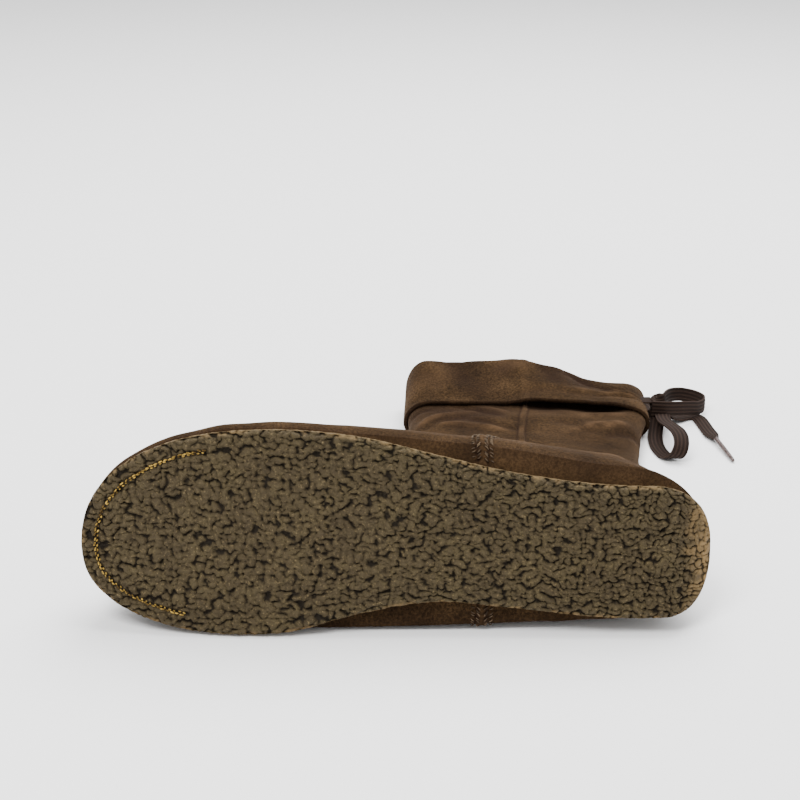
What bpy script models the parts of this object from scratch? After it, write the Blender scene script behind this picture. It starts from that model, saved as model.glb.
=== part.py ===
"""A left mukluk boot of soft suede on a thin crepe sole, lying slack on its medial side.

The boot is drawn as if it stood: x runs from the heel to the toe, y towards the lateral side and z up from the
tread. One empty then lays it down: the sole faces -Y, the toe points to -X and the shaft runs away along +Y.
Lengths are in metres.
"""

import math

import bmesh
import bpy
import numpy as np
from mathutils import Vector

# Sole
FOOT_LENGTH = 0.2657
BALL_WIDTH = 0.0885
SOLE_THICKNESS = 0.005
SOLE_EDGE_BEVEL = 0.0008
TOE_SPRING = 0.008
HEEL_ROLL = 0.010
HEEL_ROLL_LENGTH = 0.022
BALL_AT = 0.67
HEEL_ROUND = 0.028
TOE_ROUND_LATERAL = 0.078
TOE_ROUND_MEDIAL = 0.048

# Upper
LEATHER = 0.002
CLEARANCE = 0.0003
INSTEP_HEIGHT = 0.0667
SHAFT_HEIGHT = 0.2627
SHAFT_WIDTH = 0.1275
SHAFT_SLACK = 0.0164
MARGIN_WIDTH = 0.008
FEATHER_INSET = 0.0007
FEATHER_RADIUS = 0.0017
SEAM_WIDTH = 0.003
SEAM_RISE = 0.0008
FLOOR_SOFTNESS = 0.0015
SHAFT_FOLD_SHARE = 0.42
LIE_TILT = math.radians(14)

# Insole
INSOLE_THICKNESS = 0.0035
INSOLE_EASE = 0.0016

# Cuff: the top of the shaft folded out and down
CUFF_DEPTH = 0.044
SHAFT_RIM_BELOW_FOLD = 0.030
HEM_STAND_OFF = 0.0022
CUFF_GAP = 0.0005

# Lace: a flat drawstring in the cuff's fold, tied in a bow behind the boot
LACE_WIDTH = 0.008
LACE_THICKNESS = 0.0015
LACE_TAPER = 0.010
LACE_BELOW_FOLD = 0.022
LACE_STRAIGHT = 0.006
SLIT_CLEARANCE = 0.0004
SLIT_RUN_IN = 0.0025
KNOT_LENGTH = 0.0112
KNOT_DEPTH = 0.0100
KNOT_HEIGHT = 0.0160
KNOT_GAP = 0.0006
KNOT_REST = 0.0007
AGLET_GAP = 0.0006
AGLET_RADIUS = 0.0013

# The bow's routes, chosen by hand: behind the knot's middle, beyond the knot's middle, and over the floor
UPPER_LOOP = (
    (-0.0045, -0.0058, 0.0112), (0.0027, -0.0062, 0.0110), (0.0107, -0.0030, 0.0098), (0.0177, 0.0020, 0.0080),
    (0.0232, 0.0065, 0.0064), (0.0273, 0.0120, 0.0062), (0.0277, 0.0185, 0.0062), (0.0237, 0.0245, 0.0063),
    (0.0167, 0.0260, 0.0072), (0.0103, 0.0215, 0.0086), (0.0064, 0.0140, 0.0102), (0.0036, 0.0066, 0.0112),
)
LOWER_LOOP = (
    (-0.0010, -0.0053, 0.0046), (-0.0026, -0.0140, 0.0016), (-0.0038, -0.0280, 0.0010), (-0.0030, -0.0400, 0.0010),
    (-0.0001, -0.0490, 0.0012), (0.0033, -0.0540, 0.0028), (0.0046, -0.0554, 0.0070), (0.0043, -0.0535, 0.0115),
    (0.0037, -0.0480, 0.0136), (0.0030, -0.0380, 0.0126), (0.0022, -0.0270, 0.0104), (0.0018, -0.0150, 0.0088),
    (0.0016, -0.0074, 0.0077),
)
END_SEEN = (
    (0.0060, -0.0004, 0.0040), (0.0120, 0.0012, 0.0018), (0.0180, 0.0038, 0.0011), (0.0228, 0.0030, 0.0010),
    (0.0252, -0.0020, 0.0010), (0.0262, -0.0100, 0.0010), (0.0268, -0.0190, 0.0012), (0.0270, -0.0260, 0.0021),
    (0.0270, -0.0308, 0.0030),
)
TIP_SEEN = (0.0316, -0.0573, 0.0014)
END_HIDDEN = (
    (-0.0008, 0.0050, 0.0054), (-0.0010, 0.0120, 0.0022), (-0.0022, 0.0220, 0.0011), (-0.0065, 0.0310, 0.0010),
    (-0.0140, 0.0385, 0.0010), (-0.0225, 0.0435, 0.0010), (-0.0290, 0.0465, 0.0016),
)
TIP_HIDDEN = (-0.0520, 0.0560, 0.0015)
ACROSS = (1.0, 0.0, 0.0)
UPRIGHT = (0.0, 0.0, 1.0)

# Detail of the meshes
SIDE_COLUMNS = 19
SOLE_ROWS = 36
LACE_STEPS = 3

# Half widths on each side of the axis, as shares of the ball width: of the sole, and of the last above it, which
# is fuller at the waist and the heel. along is a share of the foot's length.
OUTLINE = np.array(
    [
        # along, sole lateral, sole medial, last lateral, last medial
        (0.00, 0.314, 0.313, 0.370, 0.340),
        (0.16, 0.316, 0.313, 0.400, 0.380),
        (0.34, 0.383, 0.262, 0.488, 0.400),
        (0.43, 0.455, 0.241, 0.515, 0.410),
        (0.56, 0.548, 0.294, 0.550, 0.418),
        (0.67, 0.581, 0.400, 0.575, 0.422),
        (0.76, 0.581, 0.424, 0.575, 0.424),
        (1.00, 0.581, 0.424, 0.575, 0.424),
    ]
)
SOLE_SIDES = (1, 2)
LAST_SIDES = (3, 4)

# One row for each ring of the upper, from the feather edge on the sole to the fold at the top.
# back: where the ring's back end is, as a share of the foot's length.
# front: its front end, as a share of the foot's length where slack is 0, of the shaft's width where it is 1.
# rise_back, rise_front: heights over the sole, as shares of the instep's height or the shaft's, in the same way.
# bed: how much of the sole's own curve the ring follows.
# wide_heel, wide_waist, wide_ball: the foot's width, as shares of the last's half widths.
# thick_back, thick_mid, thick_front: the slack shaft's thickness, as shares of SHAFT_SLACK.
# round_back, round_out, round_in: lengths of the rounded ends, as shares of the ring's length.
# seam: where the side seam crosses the ring, as a share of its length.
RING_COLUMNS = (
    "back front rise_back rise_front slack bed wide_heel wide_waist wide_ball "
    "thick_back thick_mid thick_front round_back round_out round_in seam"
).split()
RINGS = np.array(
    [
        (0.000, 0.997, 0.025, 0.025, 0.00, 1.0, 0.95, 0.96, 0.97, 3.50, 4.00, 3.60, 0.120, 0.290, 0.190, 0.392),
        (0.000, 1.002, 0.148, 0.097, 0.00, 0.8, 1.00, 1.00, 1.00, 3.50, 4.00, 3.60, 0.160, 0.310, 0.190, 0.388),
        (0.000, 0.989, 0.331, 0.250, 0.00, 0.6, 1.00, 0.98, 0.97, 3.40, 3.80, 3.50, 0.160, 0.320, 0.220, 0.383),
        (0.004, 0.954, 0.544, 0.397, 0.00, 0.4, 0.94, 0.92, 0.88, 3.30, 3.60, 3.40, 0.160, 0.350, 0.280, 0.385),
        (0.011, 0.893, 0.757, 0.515, 0.00, 0.2, 0.88, 0.83, 0.81, 3.20, 3.40, 3.30, 0.160, 0.410, 0.350, 0.400),
        (0.021, 0.802, 0.968, 0.618, 0.00, 0.1, 0.83, 0.75, 0.77, 3.00, 3.20, 3.00, 0.160, 0.460, 0.420, 0.425),
        (0.029, 0.721, 1.042, 0.637, 0.05, 0.0, 0.79, 0.71, 0.75, 2.80, 3.00, 2.80, 0.165, 0.490, 0.470, 0.455),
        (0.034, 0.682, 0.885, 0.554, 0.20, 0.0, 0.78, 0.69, 0.73, 2.40, 2.60, 2.60, 0.180, 0.460, 0.450, 0.485),
        (0.038, 0.703, 0.695, 0.482, 0.45, 0.0, 0.78, 0.69, 0.75, 2.00, 2.20, 2.20, 0.200, 0.380, 0.380, 0.510),
        (0.040, 0.778, 0.597, 0.479, 0.70, 0.0, 0.77, 0.69, 0.78, 1.70, 1.90, 1.90, 0.200, 0.320, 0.320, 0.525),
        (0.040, 0.895, 0.562, 0.513, 0.90, 0.0, 0.77, 0.69, 0.80, 1.40, 1.60, 1.60, 0.190, 0.250, 0.250, 0.530),
        (0.036, 0.988, 0.581, 0.570, 1.00, 0.0, 0.77, 0.69, 0.80, 1.20, 1.46, 1.46, 0.170, 0.200, 0.200, 0.530),
        (0.031, 0.992, 0.650, 0.650, 1.00, 0.0, 0.77, 0.69, 0.80, 1.10, 1.34, 1.34, 0.150, 0.170, 0.170, 0.525),
        (0.015, 0.994, 0.741, 0.741, 1.00, 0.0, 0.77, 0.69, 0.80, 1.00, 1.15, 1.18, 0.120, 0.140, 0.140, 0.525),
        (-0.005, 0.996, 0.825, 0.825, 1.00, 0.0, 0.77, 0.69, 0.80, 0.85, 0.96, 0.98, 0.100, 0.120, 0.120, 0.530),
        (-0.010, 0.993, 0.886, 0.886, 1.00, 0.0, 0.77, 0.69, 0.80, 0.80, 1.12, 1.14, 0.090, 0.115, 0.115, 0.530),
        (-0.016, 0.984, 1.000, 1.000, 1.00, 0.0, 0.77, 0.69, 0.80, 0.68, 1.40, 1.54, 0.080, 0.110, 0.110, 0.535),
    ]
)
WIDTH_STATIONS = np.array([0.13, 0.40, 0.67])

# Worked out from the sizes above
AXIS = 0.43 * BALL_WIDTH
SOLE_TOP = SOLE_THICKNESS + CLEARANCE
FOLD_REACH = SOLE_TOP + SHAFT_HEIGHT
HEM_REACH = FOLD_REACH - CUFF_DEPTH
RIM_REACH = FOLD_REACH - SHAFT_RIM_BELOW_FOLD
LACE_REACH = FOLD_REACH - LACE_BELOW_FOLD
CUFF_STACK = LEATHER + CUFF_GAP


def clear_scene():
    """Start from an empty scene."""
    for item in list(bpy.data.objects):
        bpy.data.objects.remove(item, do_unlink=True)


def new_collection(name):
    group = bpy.data.collections.new(name)
    bpy.context.scene.collection.children.link(group)
    return group


def material(name, colour, roughness, metallic=0.0):
    """One Principled BSDF finish."""
    finish = bpy.data.materials.new(name)
    finish.use_nodes = True
    shader = finish.node_tree.nodes["Principled BSDF"]
    shader.inputs["Base Color"].default_value = (*colour, 1.0)
    shader.inputs["Roughness"].default_value = roughness
    shader.inputs["Metallic"].default_value = metallic
    return finish


def add_object(name, vertices, faces, group, parent, finish):
    """A mesh object from points and faces, shaded smooth."""
    mesh = bpy.data.meshes.new(name)
    mesh.from_pydata([tuple(map(float, point)) for point in vertices], [], faces)
    mesh.validate()
    mesh.shade_smooth()
    mesh.materials.append(finish)
    item = bpy.data.objects.new(name, mesh)
    group.objects.link(item)
    item.parent = parent
    return item


def smooth_between(at, stations, values):
    """A smooth curve through a short table's values, flat past its ends."""
    stations = np.asarray(stations, float)
    values = np.asarray(values, float)
    slopes = np.gradient(values, stations)
    slopes[0] = 0.0
    slopes[-1] = 0.0
    at = np.clip(at, stations[0], stations[-1])
    right = np.clip(np.searchsorted(stations, at, side="right"), 1, len(stations) - 1)
    left = right - 1
    span = stations[right] - stations[left]
    t = (at - stations[left]) / span
    rise = t * t * (3 - 2 * t)
    return (
        values[left] * (1 - rise)
        + values[right] * rise
        + span * slopes[left] * t * (1 - t) ** 2
        + span * slopes[right] * t * t * (t - 1)
    )


def step_up(at, start, end):
    """0 before start, 1 after end, and a soft step between."""
    t = np.clip((at - start) / (end - start), 0.0, 1.0)
    return t * t * (3 - 2 * t)


def rounded_end(distance, length):
    """A quarter ellipse: 0 at an end and 1 from length on."""
    t = np.clip(distance / length, 0.0, 1.0)
    return np.sqrt(1 - (1 - t) ** 2)


def softer_max(first, second, soft):
    """The larger of two values, with a rounded corner where they cross."""
    gap = first - second
    return (first + second + np.sqrt(gap * gap + soft * soft)) / 2


def half_widths(along, sides):
    """The lateral and medial half widths of the sole, or of the last, at a length from the heel."""
    share = along / FOOT_LENGTH
    lateral, medial = (smooth_between(share, OUTLINE[:, 0], OUTLINE[:, side]) for side in sides)
    return lateral * BALL_WIDTH, medial * BALL_WIDTH


def bed_height(along):
    """How far the sole's sheet curls up: rolled at the heel and sprung at the toe."""
    roll = np.clip((HEEL_ROLL_LENGTH - along) / HEEL_ROLL_LENGTH, 0.0, 1.2)
    ball = BALL_AT * FOOT_LENGTH
    spring = np.clip((along - ball) / (FOOT_LENGTH - ball), 0.0, 1.2)
    return HEEL_ROLL * roll**2 + TOE_SPRING * spring**2


def outline_sides(share, inset):
    """The outline drawn in by inset: the length from the heel, and the lateral and medial edges there."""
    back = inset
    front = FOOT_LENGTH - inset
    along = back + share * (front - back)
    lateral, medial = half_widths(along, SOLE_SIDES)
    heel = rounded_end(along - back, HEEL_ROUND)
    out = heel * rounded_end(front - along, TOE_ROUND_LATERAL - inset)
    inside = heel * rounded_end(front - along, TOE_ROUND_MEDIAL - inset)
    return along, AXIS + (lateral - inset) * out, AXIS - (medial - inset) * inside


def lowest_edge():
    """How high the sole's lowest point is over the origin's level, once the boot lies down."""
    along, _, medial = outline_sides(np.linspace(0, 1, 400), 0.0)
    edge = bed_height(along) + SOLE_THICKNESS - SOLE_EDGE_BEVEL
    return float(np.min(medial * math.cos(LIE_TILT) - edge * math.sin(LIE_TILT)))


FLOOR = lowest_edge()


def floor_side(height):
    """Where the floor is, across the boot, at a height over the tread."""
    return (FLOOR + height * math.sin(LIE_TILT)) / math.cos(LIE_TILT)


def from_floor(away, over):
    """A place given by its distance from the tread along the floor and its height over the floor."""
    over = over + FLOOR
    side = over * math.cos(LIE_TILT) + away * math.sin(LIE_TILT)
    high = away * math.cos(LIE_TILT) - over * math.sin(LIE_TILT)
    return side, high


def ring_sizes():
    """The ring table in metres, one array for each column."""
    ring = {name: RINGS[:, i].copy() for i, name in enumerate(RING_COLUMNS)}
    reach = (1 - ring["slack"]) * FOOT_LENGTH + ring["slack"] * SHAFT_WIDTH
    rise = (1 - ring["slack"]) * INSTEP_HEIGHT + ring["slack"] * SHAFT_HEIGHT
    ring["back"] *= FOOT_LENGTH
    ring["front"] *= reach
    ring["rise_back"] *= rise
    ring["rise_front"] *= rise
    for name in ("thick_back", "thick_mid", "thick_front"):
        ring[name] *= SHAFT_SLACK
    return ring


RING = ring_sizes()
RING_STEPS = np.arange(len(RINGS), dtype=float)


def ring_at(step):
    """Every column at a step between the table's rows."""
    return {name: smooth_between(step, RING_STEPS, RING[name]) for name in RING_COLUMNS}


def step_for_reach(away):
    """The step along the table where a ring of the slack shaft is this far from the tread."""
    steps = np.linspace(RING_STEPS[-6], RING_STEPS[-1], 400)
    reached = SOLE_TOP + smooth_between(steps, RING_STEPS, RING["rise_back"])
    return float(np.interp(away, reached, steps))


def side_shares(ring):
    """Columns from the back end to the front end, with four close ones along the side seam."""
    turn = np.linspace(0.0, 1.0, SIDE_COLUMNS)
    regular = (1 - np.cos(np.pi * turn)) / 2
    split = SIDE_COLUMNS // 2 - 1
    centre = regular[split]
    bump = np.sin(np.pi * regular) / math.sin(math.pi * centre)
    regular = np.delete(regular + (ring["seam"] - centre) * bump, split)
    length = ring["front"] - ring["back"]
    crest = SEAM_WIDTH / 2 / length
    foot = (SEAM_WIDTH / 2 + SEAM_RISE) / length
    strip = ring["seam"] + np.array([-foot, -crest, crest, foot])
    shares = np.concatenate([regular[:split], strip, regular[split:]])
    raised = np.zeros(len(shares))
    raised[split + 1 : split + 3] = SEAM_RISE
    return shares, raised


def foot_ring(ring, share, raised, along):
    """The foot's part of a ring: its sides follow the sole's outline, and stop at the floor."""
    level = ring["rise_back"] + share * (ring["rise_front"] - ring["rise_back"])
    high = SOLE_TOP + level + ring["bed"] * bed_height(along)
    wide = smooth_between(share, WIDTH_STATIONS, [ring["wide_heel"], ring["wide_waist"], ring["wide_ball"]])
    lateral_half, medial_half = half_widths(along, LAST_SIDES)
    length = ring["front"] - ring["back"]
    heel = rounded_end(along - ring["back"], ring["round_back"] * length)
    toe_out = rounded_end(ring["front"] - along, ring["round_out"] * length)
    toe_in = rounded_end(ring["front"] - along, ring["round_in"] * length)
    lateral = AXIS + (lateral_half * wide + raised) * heel * toe_out
    medial = AXIS - (medial_half * wide + raised) * heel * toe_in
    return high, lateral, high, softer_max(medial, floor_side(high), FLOOR_SOFTNESS)


def slack_ring(ring, share, raised, along, away, flare=0.0):
    """The slack shaft's part of a ring, square to the floor: how far its two sides are over the floor.

    flare moves the lateral side out between the seam and the back, where the leather sinks away from the hem.
    """
    thick = smooth_between(share, WIDTH_STATIONS, [ring["thick_back"], ring["thick_mid"], ring["thick_front"]])
    under = CUFF_STACK * step_up(away, 0.78 * HEM_REACH, 0.92 * HEM_REACH)
    middle = under + SHAFT_FOLD_SHARE * thick
    length = ring["front"] - ring["back"]
    from_back = along - ring["back"]
    from_front = ring["front"] - along
    back = rounded_end(from_back, ring["round_back"] * length)
    front = rounded_end(from_front, ring["round_out"] * length)
    back_under = rounded_end(from_back, SHAFT_FOLD_SHARE * ring["round_back"] * length)
    front_under = rounded_end(from_front, SHAFT_FOLD_SHARE * ring["round_in"] * length)
    dip = flare * step_up(share, 0.05, 0.15) * (1 - step_up(share, 0.45, 0.60))
    over = middle + (thick + under - middle + raised + dip) * back * front
    beneath = middle - (middle - under) * back_under * front_under
    return over, beneath


def ring_points(step):
    """One closed ring of the upper: out along the lateral side and back along the medial one."""
    ring = ring_at(step)
    share, raised = side_shares(ring)
    along = ring["back"] + share * (ring["front"] - ring["back"])
    foot = foot_ring(ring, share, raised, along)
    away = SOLE_TOP + ring["rise_back"] + share * (ring["rise_front"] - ring["rise_back"])
    over, beneath = slack_ring(ring, share, raised, along, away)
    lateral, lateral_high = from_floor(away, over)
    medial, medial_high = from_floor(away, beneath)
    slack = (lateral_high, lateral, medial_high, medial)
    mixed = [(1 - ring["slack"]) * a + ring["slack"] * b for a, b in zip(foot, slack)]
    return closed_ring(along, *mixed)


def shaft_outline(away, offset=0.0, flare=0.0):
    """The shaft's outline at a distance from the tread, moved out by offset: lengths and heights over the floor."""
    ring = ring_at(step_for_reach(away))
    share, raised = side_shares(ring)
    along = ring["back"] + share * (ring["front"] - ring["back"])
    over, beneath = slack_ring(ring, share, raised, along, np.full_like(along, away), flare)
    outline = np.vstack([np.column_stack([along, over]), np.column_stack([along, beneath])[-2:0:-1]])
    before = outline - np.roll(outline, 1, axis=0)
    after = np.roll(outline, -1, axis=0) - outline
    sides = [np.column_stack([-edge[:, 1], edge[:, 0]]) for edge in (before, after)]
    sides = [side / np.linalg.norm(side, axis=1, keepdims=True) for side in sides]
    corner = sides[0] + sides[1]
    corner /= np.linalg.norm(corner, axis=1, keepdims=True)
    mitre = 1 / np.sum(corner * sides[0], axis=1, keepdims=True)
    return outline + offset * corner * mitre


def outline_points(outline, away):
    """An outline of the shaft as points of the boot."""
    side, high = from_floor(away, outline[:, 1])
    return np.column_stack([outline[:, 0], side, high])


def closed_ring(along, lateral_high, lateral, medial_high, medial):
    """The lateral side's points from back to front, then the medial side's home again."""
    out = np.column_stack([along, lateral, lateral_high])
    home = np.column_stack([along, medial, medial_high])[-2:0:-1]
    return np.vstack([out, home])


def band_faces(rows, columns):
    """Quads between closed rings, facing out when the rings rise."""
    faces = []
    for row in range(rows - 1):
        for column in range(columns):
            after = (column + 1) % columns
            low = row * columns
            high = low + columns
            faces.append((low + after, low + column, high + column, high + after))
    return faces


def solidify(item, thickness, offset):
    """A wall of even thickness."""
    wall = item.modifiers.new("wall", "SOLIDIFY")
    wall.thickness = thickness
    wall.offset = offset
    wall.use_even_offset = True
    wall.use_rim = True


def upper_steps():
    """Where the upper's rows are along the ring table: finer over the foot than up the shaft."""
    foot = np.arange(0.0, 11.0, 0.5)
    under_cuff = [step_for_reach(reach) for reach in (HEM_REACH, (HEM_REACH + RIM_REACH) / 2, RIM_REACH)]
    return [*foot, 11.0, 12.0, 13.0, *under_cuff]


def make_upper(group, seat, finish):
    """The hollow upper: a turned-in margin on the sole, the foot and the slack shaft, in one wall."""
    rows = []
    feather = ring_at(0.0)
    shares, _ = side_shares(feather)
    for inset in (MARGIN_WIDTH, FEATHER_INSET + FEATHER_RADIUS):
        along, lateral, medial = outline_sides(shares, inset)
        high = SOLE_TOP + bed_height(along)
        rows.append(closed_ring(along, high, lateral, high, medial))
    rows += [ring_points(step) for step in upper_steps()]
    vertices = np.vstack(rows)
    faces = band_faces(len(rows), len(rows[0]))
    upper = add_object("upper", vertices, faces, group, seat, finish)
    solidify(upper, LEATHER, -1.0)
    return upper


def sheet_mesh(name, inset, under, thickness, group, seat, finish):
    """A sheet cut to the sole's outline and curled with the bed, extruded upwards from its underside."""
    turn = np.linspace(0.0, 1.0, SOLE_ROWS)
    share = (1 - np.cos(np.pi * turn)) / 2
    along, lateral, medial = outline_sides(share, inset)
    across = np.array([0.0, 0.25, 0.5, 0.75, 1.0])
    vertices = []
    for row in range(SOLE_ROWS):
        spots = across if 0 < row < SOLE_ROWS - 1 else across[:1]
        for spot in spots:
            side = medial[row] + spot * (lateral[row] - medial[row])
            vertices.append((along[row], side, under + bed_height(along[row])))
    faces = []
    wide = len(across)
    last = len(vertices) - 1
    for row in range(SOLE_ROWS - 3):
        for column in range(wide - 1):
            low = 1 + row * wide + column
            high = low + wide
            faces.append((low, high, high + 1, low + 1))
    for column in range(wide - 1):
        faces.append((0, 1 + column, 2 + column))
        tip = 1 + (SOLE_ROWS - 3) * wide + column
        faces.append((last, tip + 1, tip))
    item = add_object(name, vertices, faces, group, seat, finish)
    shape = bmesh.new()
    shape.from_mesh(item.data)
    raised = bmesh.ops.extrude_face_region(shape, geom=shape.faces[:], use_keep_orig=True)
    top = [part for part in raised["geom"] if isinstance(part, bmesh.types.BMVert)]
    bmesh.ops.translate(shape, vec=(0.0, 0.0, thickness), verts=top)
    bmesh.ops.recalc_face_normals(shape, faces=shape.faces[:])
    shape.to_mesh(item.data)
    shape.free()
    return item


def make_outsole(group, seat, finish):
    """The thin crepe sheet, with its edge broken."""
    outsole = sheet_mesh("outsole", 0.0, 0.0, SOLE_THICKNESS, group, seat, finish)
    edge = outsole.modifiers.new("edge", "BEVEL")
    edge.width = SOLE_EDGE_BEVEL
    edge.segments = 1
    edge.limit_method = "ANGLE"
    edge.angle_limit = math.radians(50)
    return outsole


def make_insole(group, seat, finish):
    """The insole, which fills the space that the upper's margin leaves."""
    inset = MARGIN_WIDTH + INSOLE_EASE
    return sheet_mesh("insole", inset, SOLE_TOP, INSOLE_THICKNESS, group, seat, finish)


def cuff_path():
    """The folded section, from the outer hem over the fold to the inner hem: reach, offset and flare."""
    outer = CUFF_GAP + LEATHER / 2
    inner = -LEATHER - CUFF_GAP - LEATHER / 2
    radius = (outer - inner) / 2
    turn_reach = FOLD_REACH - radius - LEATHER / 2
    middle = (HEM_REACH + RIM_REACH) / 2
    path = [
        (HEM_REACH, outer, HEM_STAND_OFF),
        (middle, outer, HEM_STAND_OFF * 0.6),
        (RIM_REACH, outer, HEM_STAND_OFF * 0.2),
        ((RIM_REACH + turn_reach) / 2, outer, 0.0),
        (turn_reach, outer, 0.0),
    ]
    for turn in np.linspace(0.0, math.pi, 6)[1:-1]:
        path.append((turn_reach + radius * math.sin(turn), inner + radius * (1 + math.cos(turn)), 0.0))
    path += [(turn_reach, inner, 0.0), ((RIM_REACH + turn_reach) / 2, inner, 0.0), (RIM_REACH, inner, 0.0)]
    path.append((middle, inner, 0.0))
    return path


def make_cuff(group, seat, finish):
    """The cuff, a folded band hooked over the shaft's rim."""
    rows = []
    for reach, offset, flare in cuff_path():
        rows.append(outline_points(shaft_outline(reach, offset, flare), reach))
    cuff = add_object("cuff", np.vstack(rows), band_faces(len(rows), len(rows[0])), group, seat, finish)
    solidify(cuff, LEATHER, 0.0)
    return cuff


def knot_middle():
    """The knot's middle: how far it is behind the heel's end, and from the tread."""
    end = -shaft_outline(LACE_REACH, CUFF_STACK)[:, 0].min()
    return end + KNOT_GAP + KNOT_LENGTH / 2, LACE_REACH


def strip(name, low, high, group, parent, finish, thickness):
    """A flat band between two edges of as many points each."""
    count = len(low)
    vertices = np.vstack([low, high])
    faces = [(i, i + 1, count + i + 1, count + i) for i in range(count - 1)]
    band = add_object(name, vertices, faces, group, parent, finish)
    solidify(band, thickness, 0.0)
    return band


def smooth_route(points):
    """A smooth curve read off at LACE_STEPS places between each pair of a route's points."""
    points = np.asarray(points, float)
    stations = np.arange(len(points), dtype=float)
    at = np.linspace(0, len(points) - 1, (len(points) - 1) * LACE_STEPS + 1)
    slopes = np.gradient(points, axis=0)
    left = np.minimum(at.astype(int), len(points) - 2)
    t = (at - stations[left])[:, None]
    rise = t * t * (3 - 2 * t)
    return (
        points[left] * (1 - rise)
        + points[left + 1] * rise
        + slopes[left] * t * (1 - t) ** 2
        + slopes[left + 1] * t * t * (t - 1)
    )


def route_from_knot(route):
    """A route's points in the floor's frame."""
    behind, away = knot_middle()
    return np.asarray(route) + np.array([behind, away, FLOOR])


def make_lace_band(name, route, wide_along, group, ground, finish):
    """One stretch of lace, with its width across the route along a chosen direction."""
    path = smooth_route(route_from_knot(route))
    heading = np.gradient(path, axis=0)
    heading /= np.linalg.norm(heading, axis=1, keepdims=True)
    across = np.asarray(wide_along, float) - heading * (heading @ np.asarray(wide_along, float))[:, None]
    across /= np.linalg.norm(across, axis=1, keepdims=True)
    half = across * LACE_WIDTH / 2
    return strip(name, path - half, path + half, group, ground, finish, LACE_THICKNESS)


def make_flat_end(name, route, group, ground, finish):
    """A loose end of the lace, lying flat, which narrows into its aglet."""
    path = smooth_route(route_from_knot(route))
    heading = np.gradient(path, axis=0)
    level = np.column_stack([-heading[:, 1], heading[:, 0], np.zeros(len(path))])
    level /= np.linalg.norm(level, axis=1, keepdims=True)
    left = np.append(np.linalg.norm(np.diff(path, axis=0), axis=1)[::-1].cumsum()[::-1], 0.0)
    share = np.clip(left / LACE_TAPER, 0.0, 1.0)
    width = 2 * AGLET_RADIUS + (LACE_WIDTH - 2 * AGLET_RADIUS) * share
    half = level * width[:, None] / 2
    return strip(name, path - half, path + half, group, ground, finish, LACE_THICKNESS)


def make_aglet(name, route, tip, group, ground, finish):
    """The stiff tube on a lace's end."""
    last, end = route_from_knot([route[-1], tip])
    heading = (end - last) / np.linalg.norm(end - last)
    curve = bpy.data.curves.new(name, "CURVE")
    curve.dimensions = "3D"
    curve.bevel_depth = AGLET_RADIUS
    curve.bevel_resolution = 2
    curve.use_fill_caps = True
    line = curve.splines.new("POLY")
    line.points.add(1)
    for point, place in zip(line.points, (last + heading * AGLET_GAP, end)):
        point.co = (*place, 1.0)
    curve.materials.append(finish)
    aglet = bpy.data.objects.new(name, curve)
    group.objects.link(aglet)
    aglet.parent = ground
    return aglet


def make_knot(group, ground, finish):
    """The bow's knot."""
    behind, away = knot_middle()
    shape = bmesh.new()
    bmesh.ops.create_uvsphere(shape, u_segments=16, v_segments=10, radius=0.5)
    bmesh.ops.scale(shape, vec=(KNOT_LENGTH, KNOT_DEPTH, KNOT_HEIGHT), verts=shape.verts)
    lift = LACE_THICKNESS + KNOT_HEIGHT / 2 + FLOOR
    bmesh.ops.translate(shape, vec=(behind, away, lift), verts=shape.verts)
    mesh = bpy.data.meshes.new("lace_knot")
    shape.to_mesh(mesh)
    shape.free()
    mesh.shade_smooth()
    mesh.materials.append(finish)
    knot = bpy.data.objects.new("lace_knot", mesh)
    group.objects.link(knot)
    knot.parent = ground
    return knot


def knot_face(over):
    """How far behind the heel's end the knot's near face is, at a height over the floor."""
    behind, _ = knot_middle()
    share = (over - LACE_THICKNESS - KNOT_HEIGHT / 2) / (KNOT_HEIGHT / 2)
    return behind - KNOT_LENGTH / 2 * math.sqrt(max(0.0, 1 - share * share))


def drawstring_ring():
    """The drawstring's two edges inside the fold: lengths and heights over the floor, without the back end."""
    edges = []
    for away in (LACE_REACH - LACE_WIDTH / 2, LACE_REACH + LACE_WIDTH / 2):
        outline = shaft_outline(away, -LEATHER / 2)
        edges.append(outline[outline[:, 0] > outline[:, 0].min() + LACE_STRAIGHT])
    return edges


def slit_rises():
    """The heights over the floor where the drawstring comes out, on the lateral side and under the shaft."""
    edges = drawstring_ring()
    return [(edges[0][end, 1] + edges[1][end, 1]) / 2 for end in (0, -1)]


def make_drawstring(group, ground, finish):
    """The lace inside the fold: round the shaft's rim, and out through both slits to the knot."""
    edges = []
    places = (LACE_REACH - LACE_WIDTH / 2, LACE_REACH + LACE_WIDTH / 2)
    for away, outline in zip(places, drawstring_ring()):
        leave = -outline[:, 0].min()
        ring = [(-along, away, over + FLOOR) for along, over in outline]
        exits = []
        for over in slit_rises():
            reach = knot_face(over) - KNOT_REST - leave
            exits.append([(leave + reach * share, away, over + FLOOR) for share in (1.0, 0.6, 0.25)])
        edges.append(np.array([*exits[0], *ring, *exits[1][::-1]]))
    return strip("lace_drawstring", edges[0], edges[1], group, ground, finish, LACE_THICKNESS)


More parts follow.
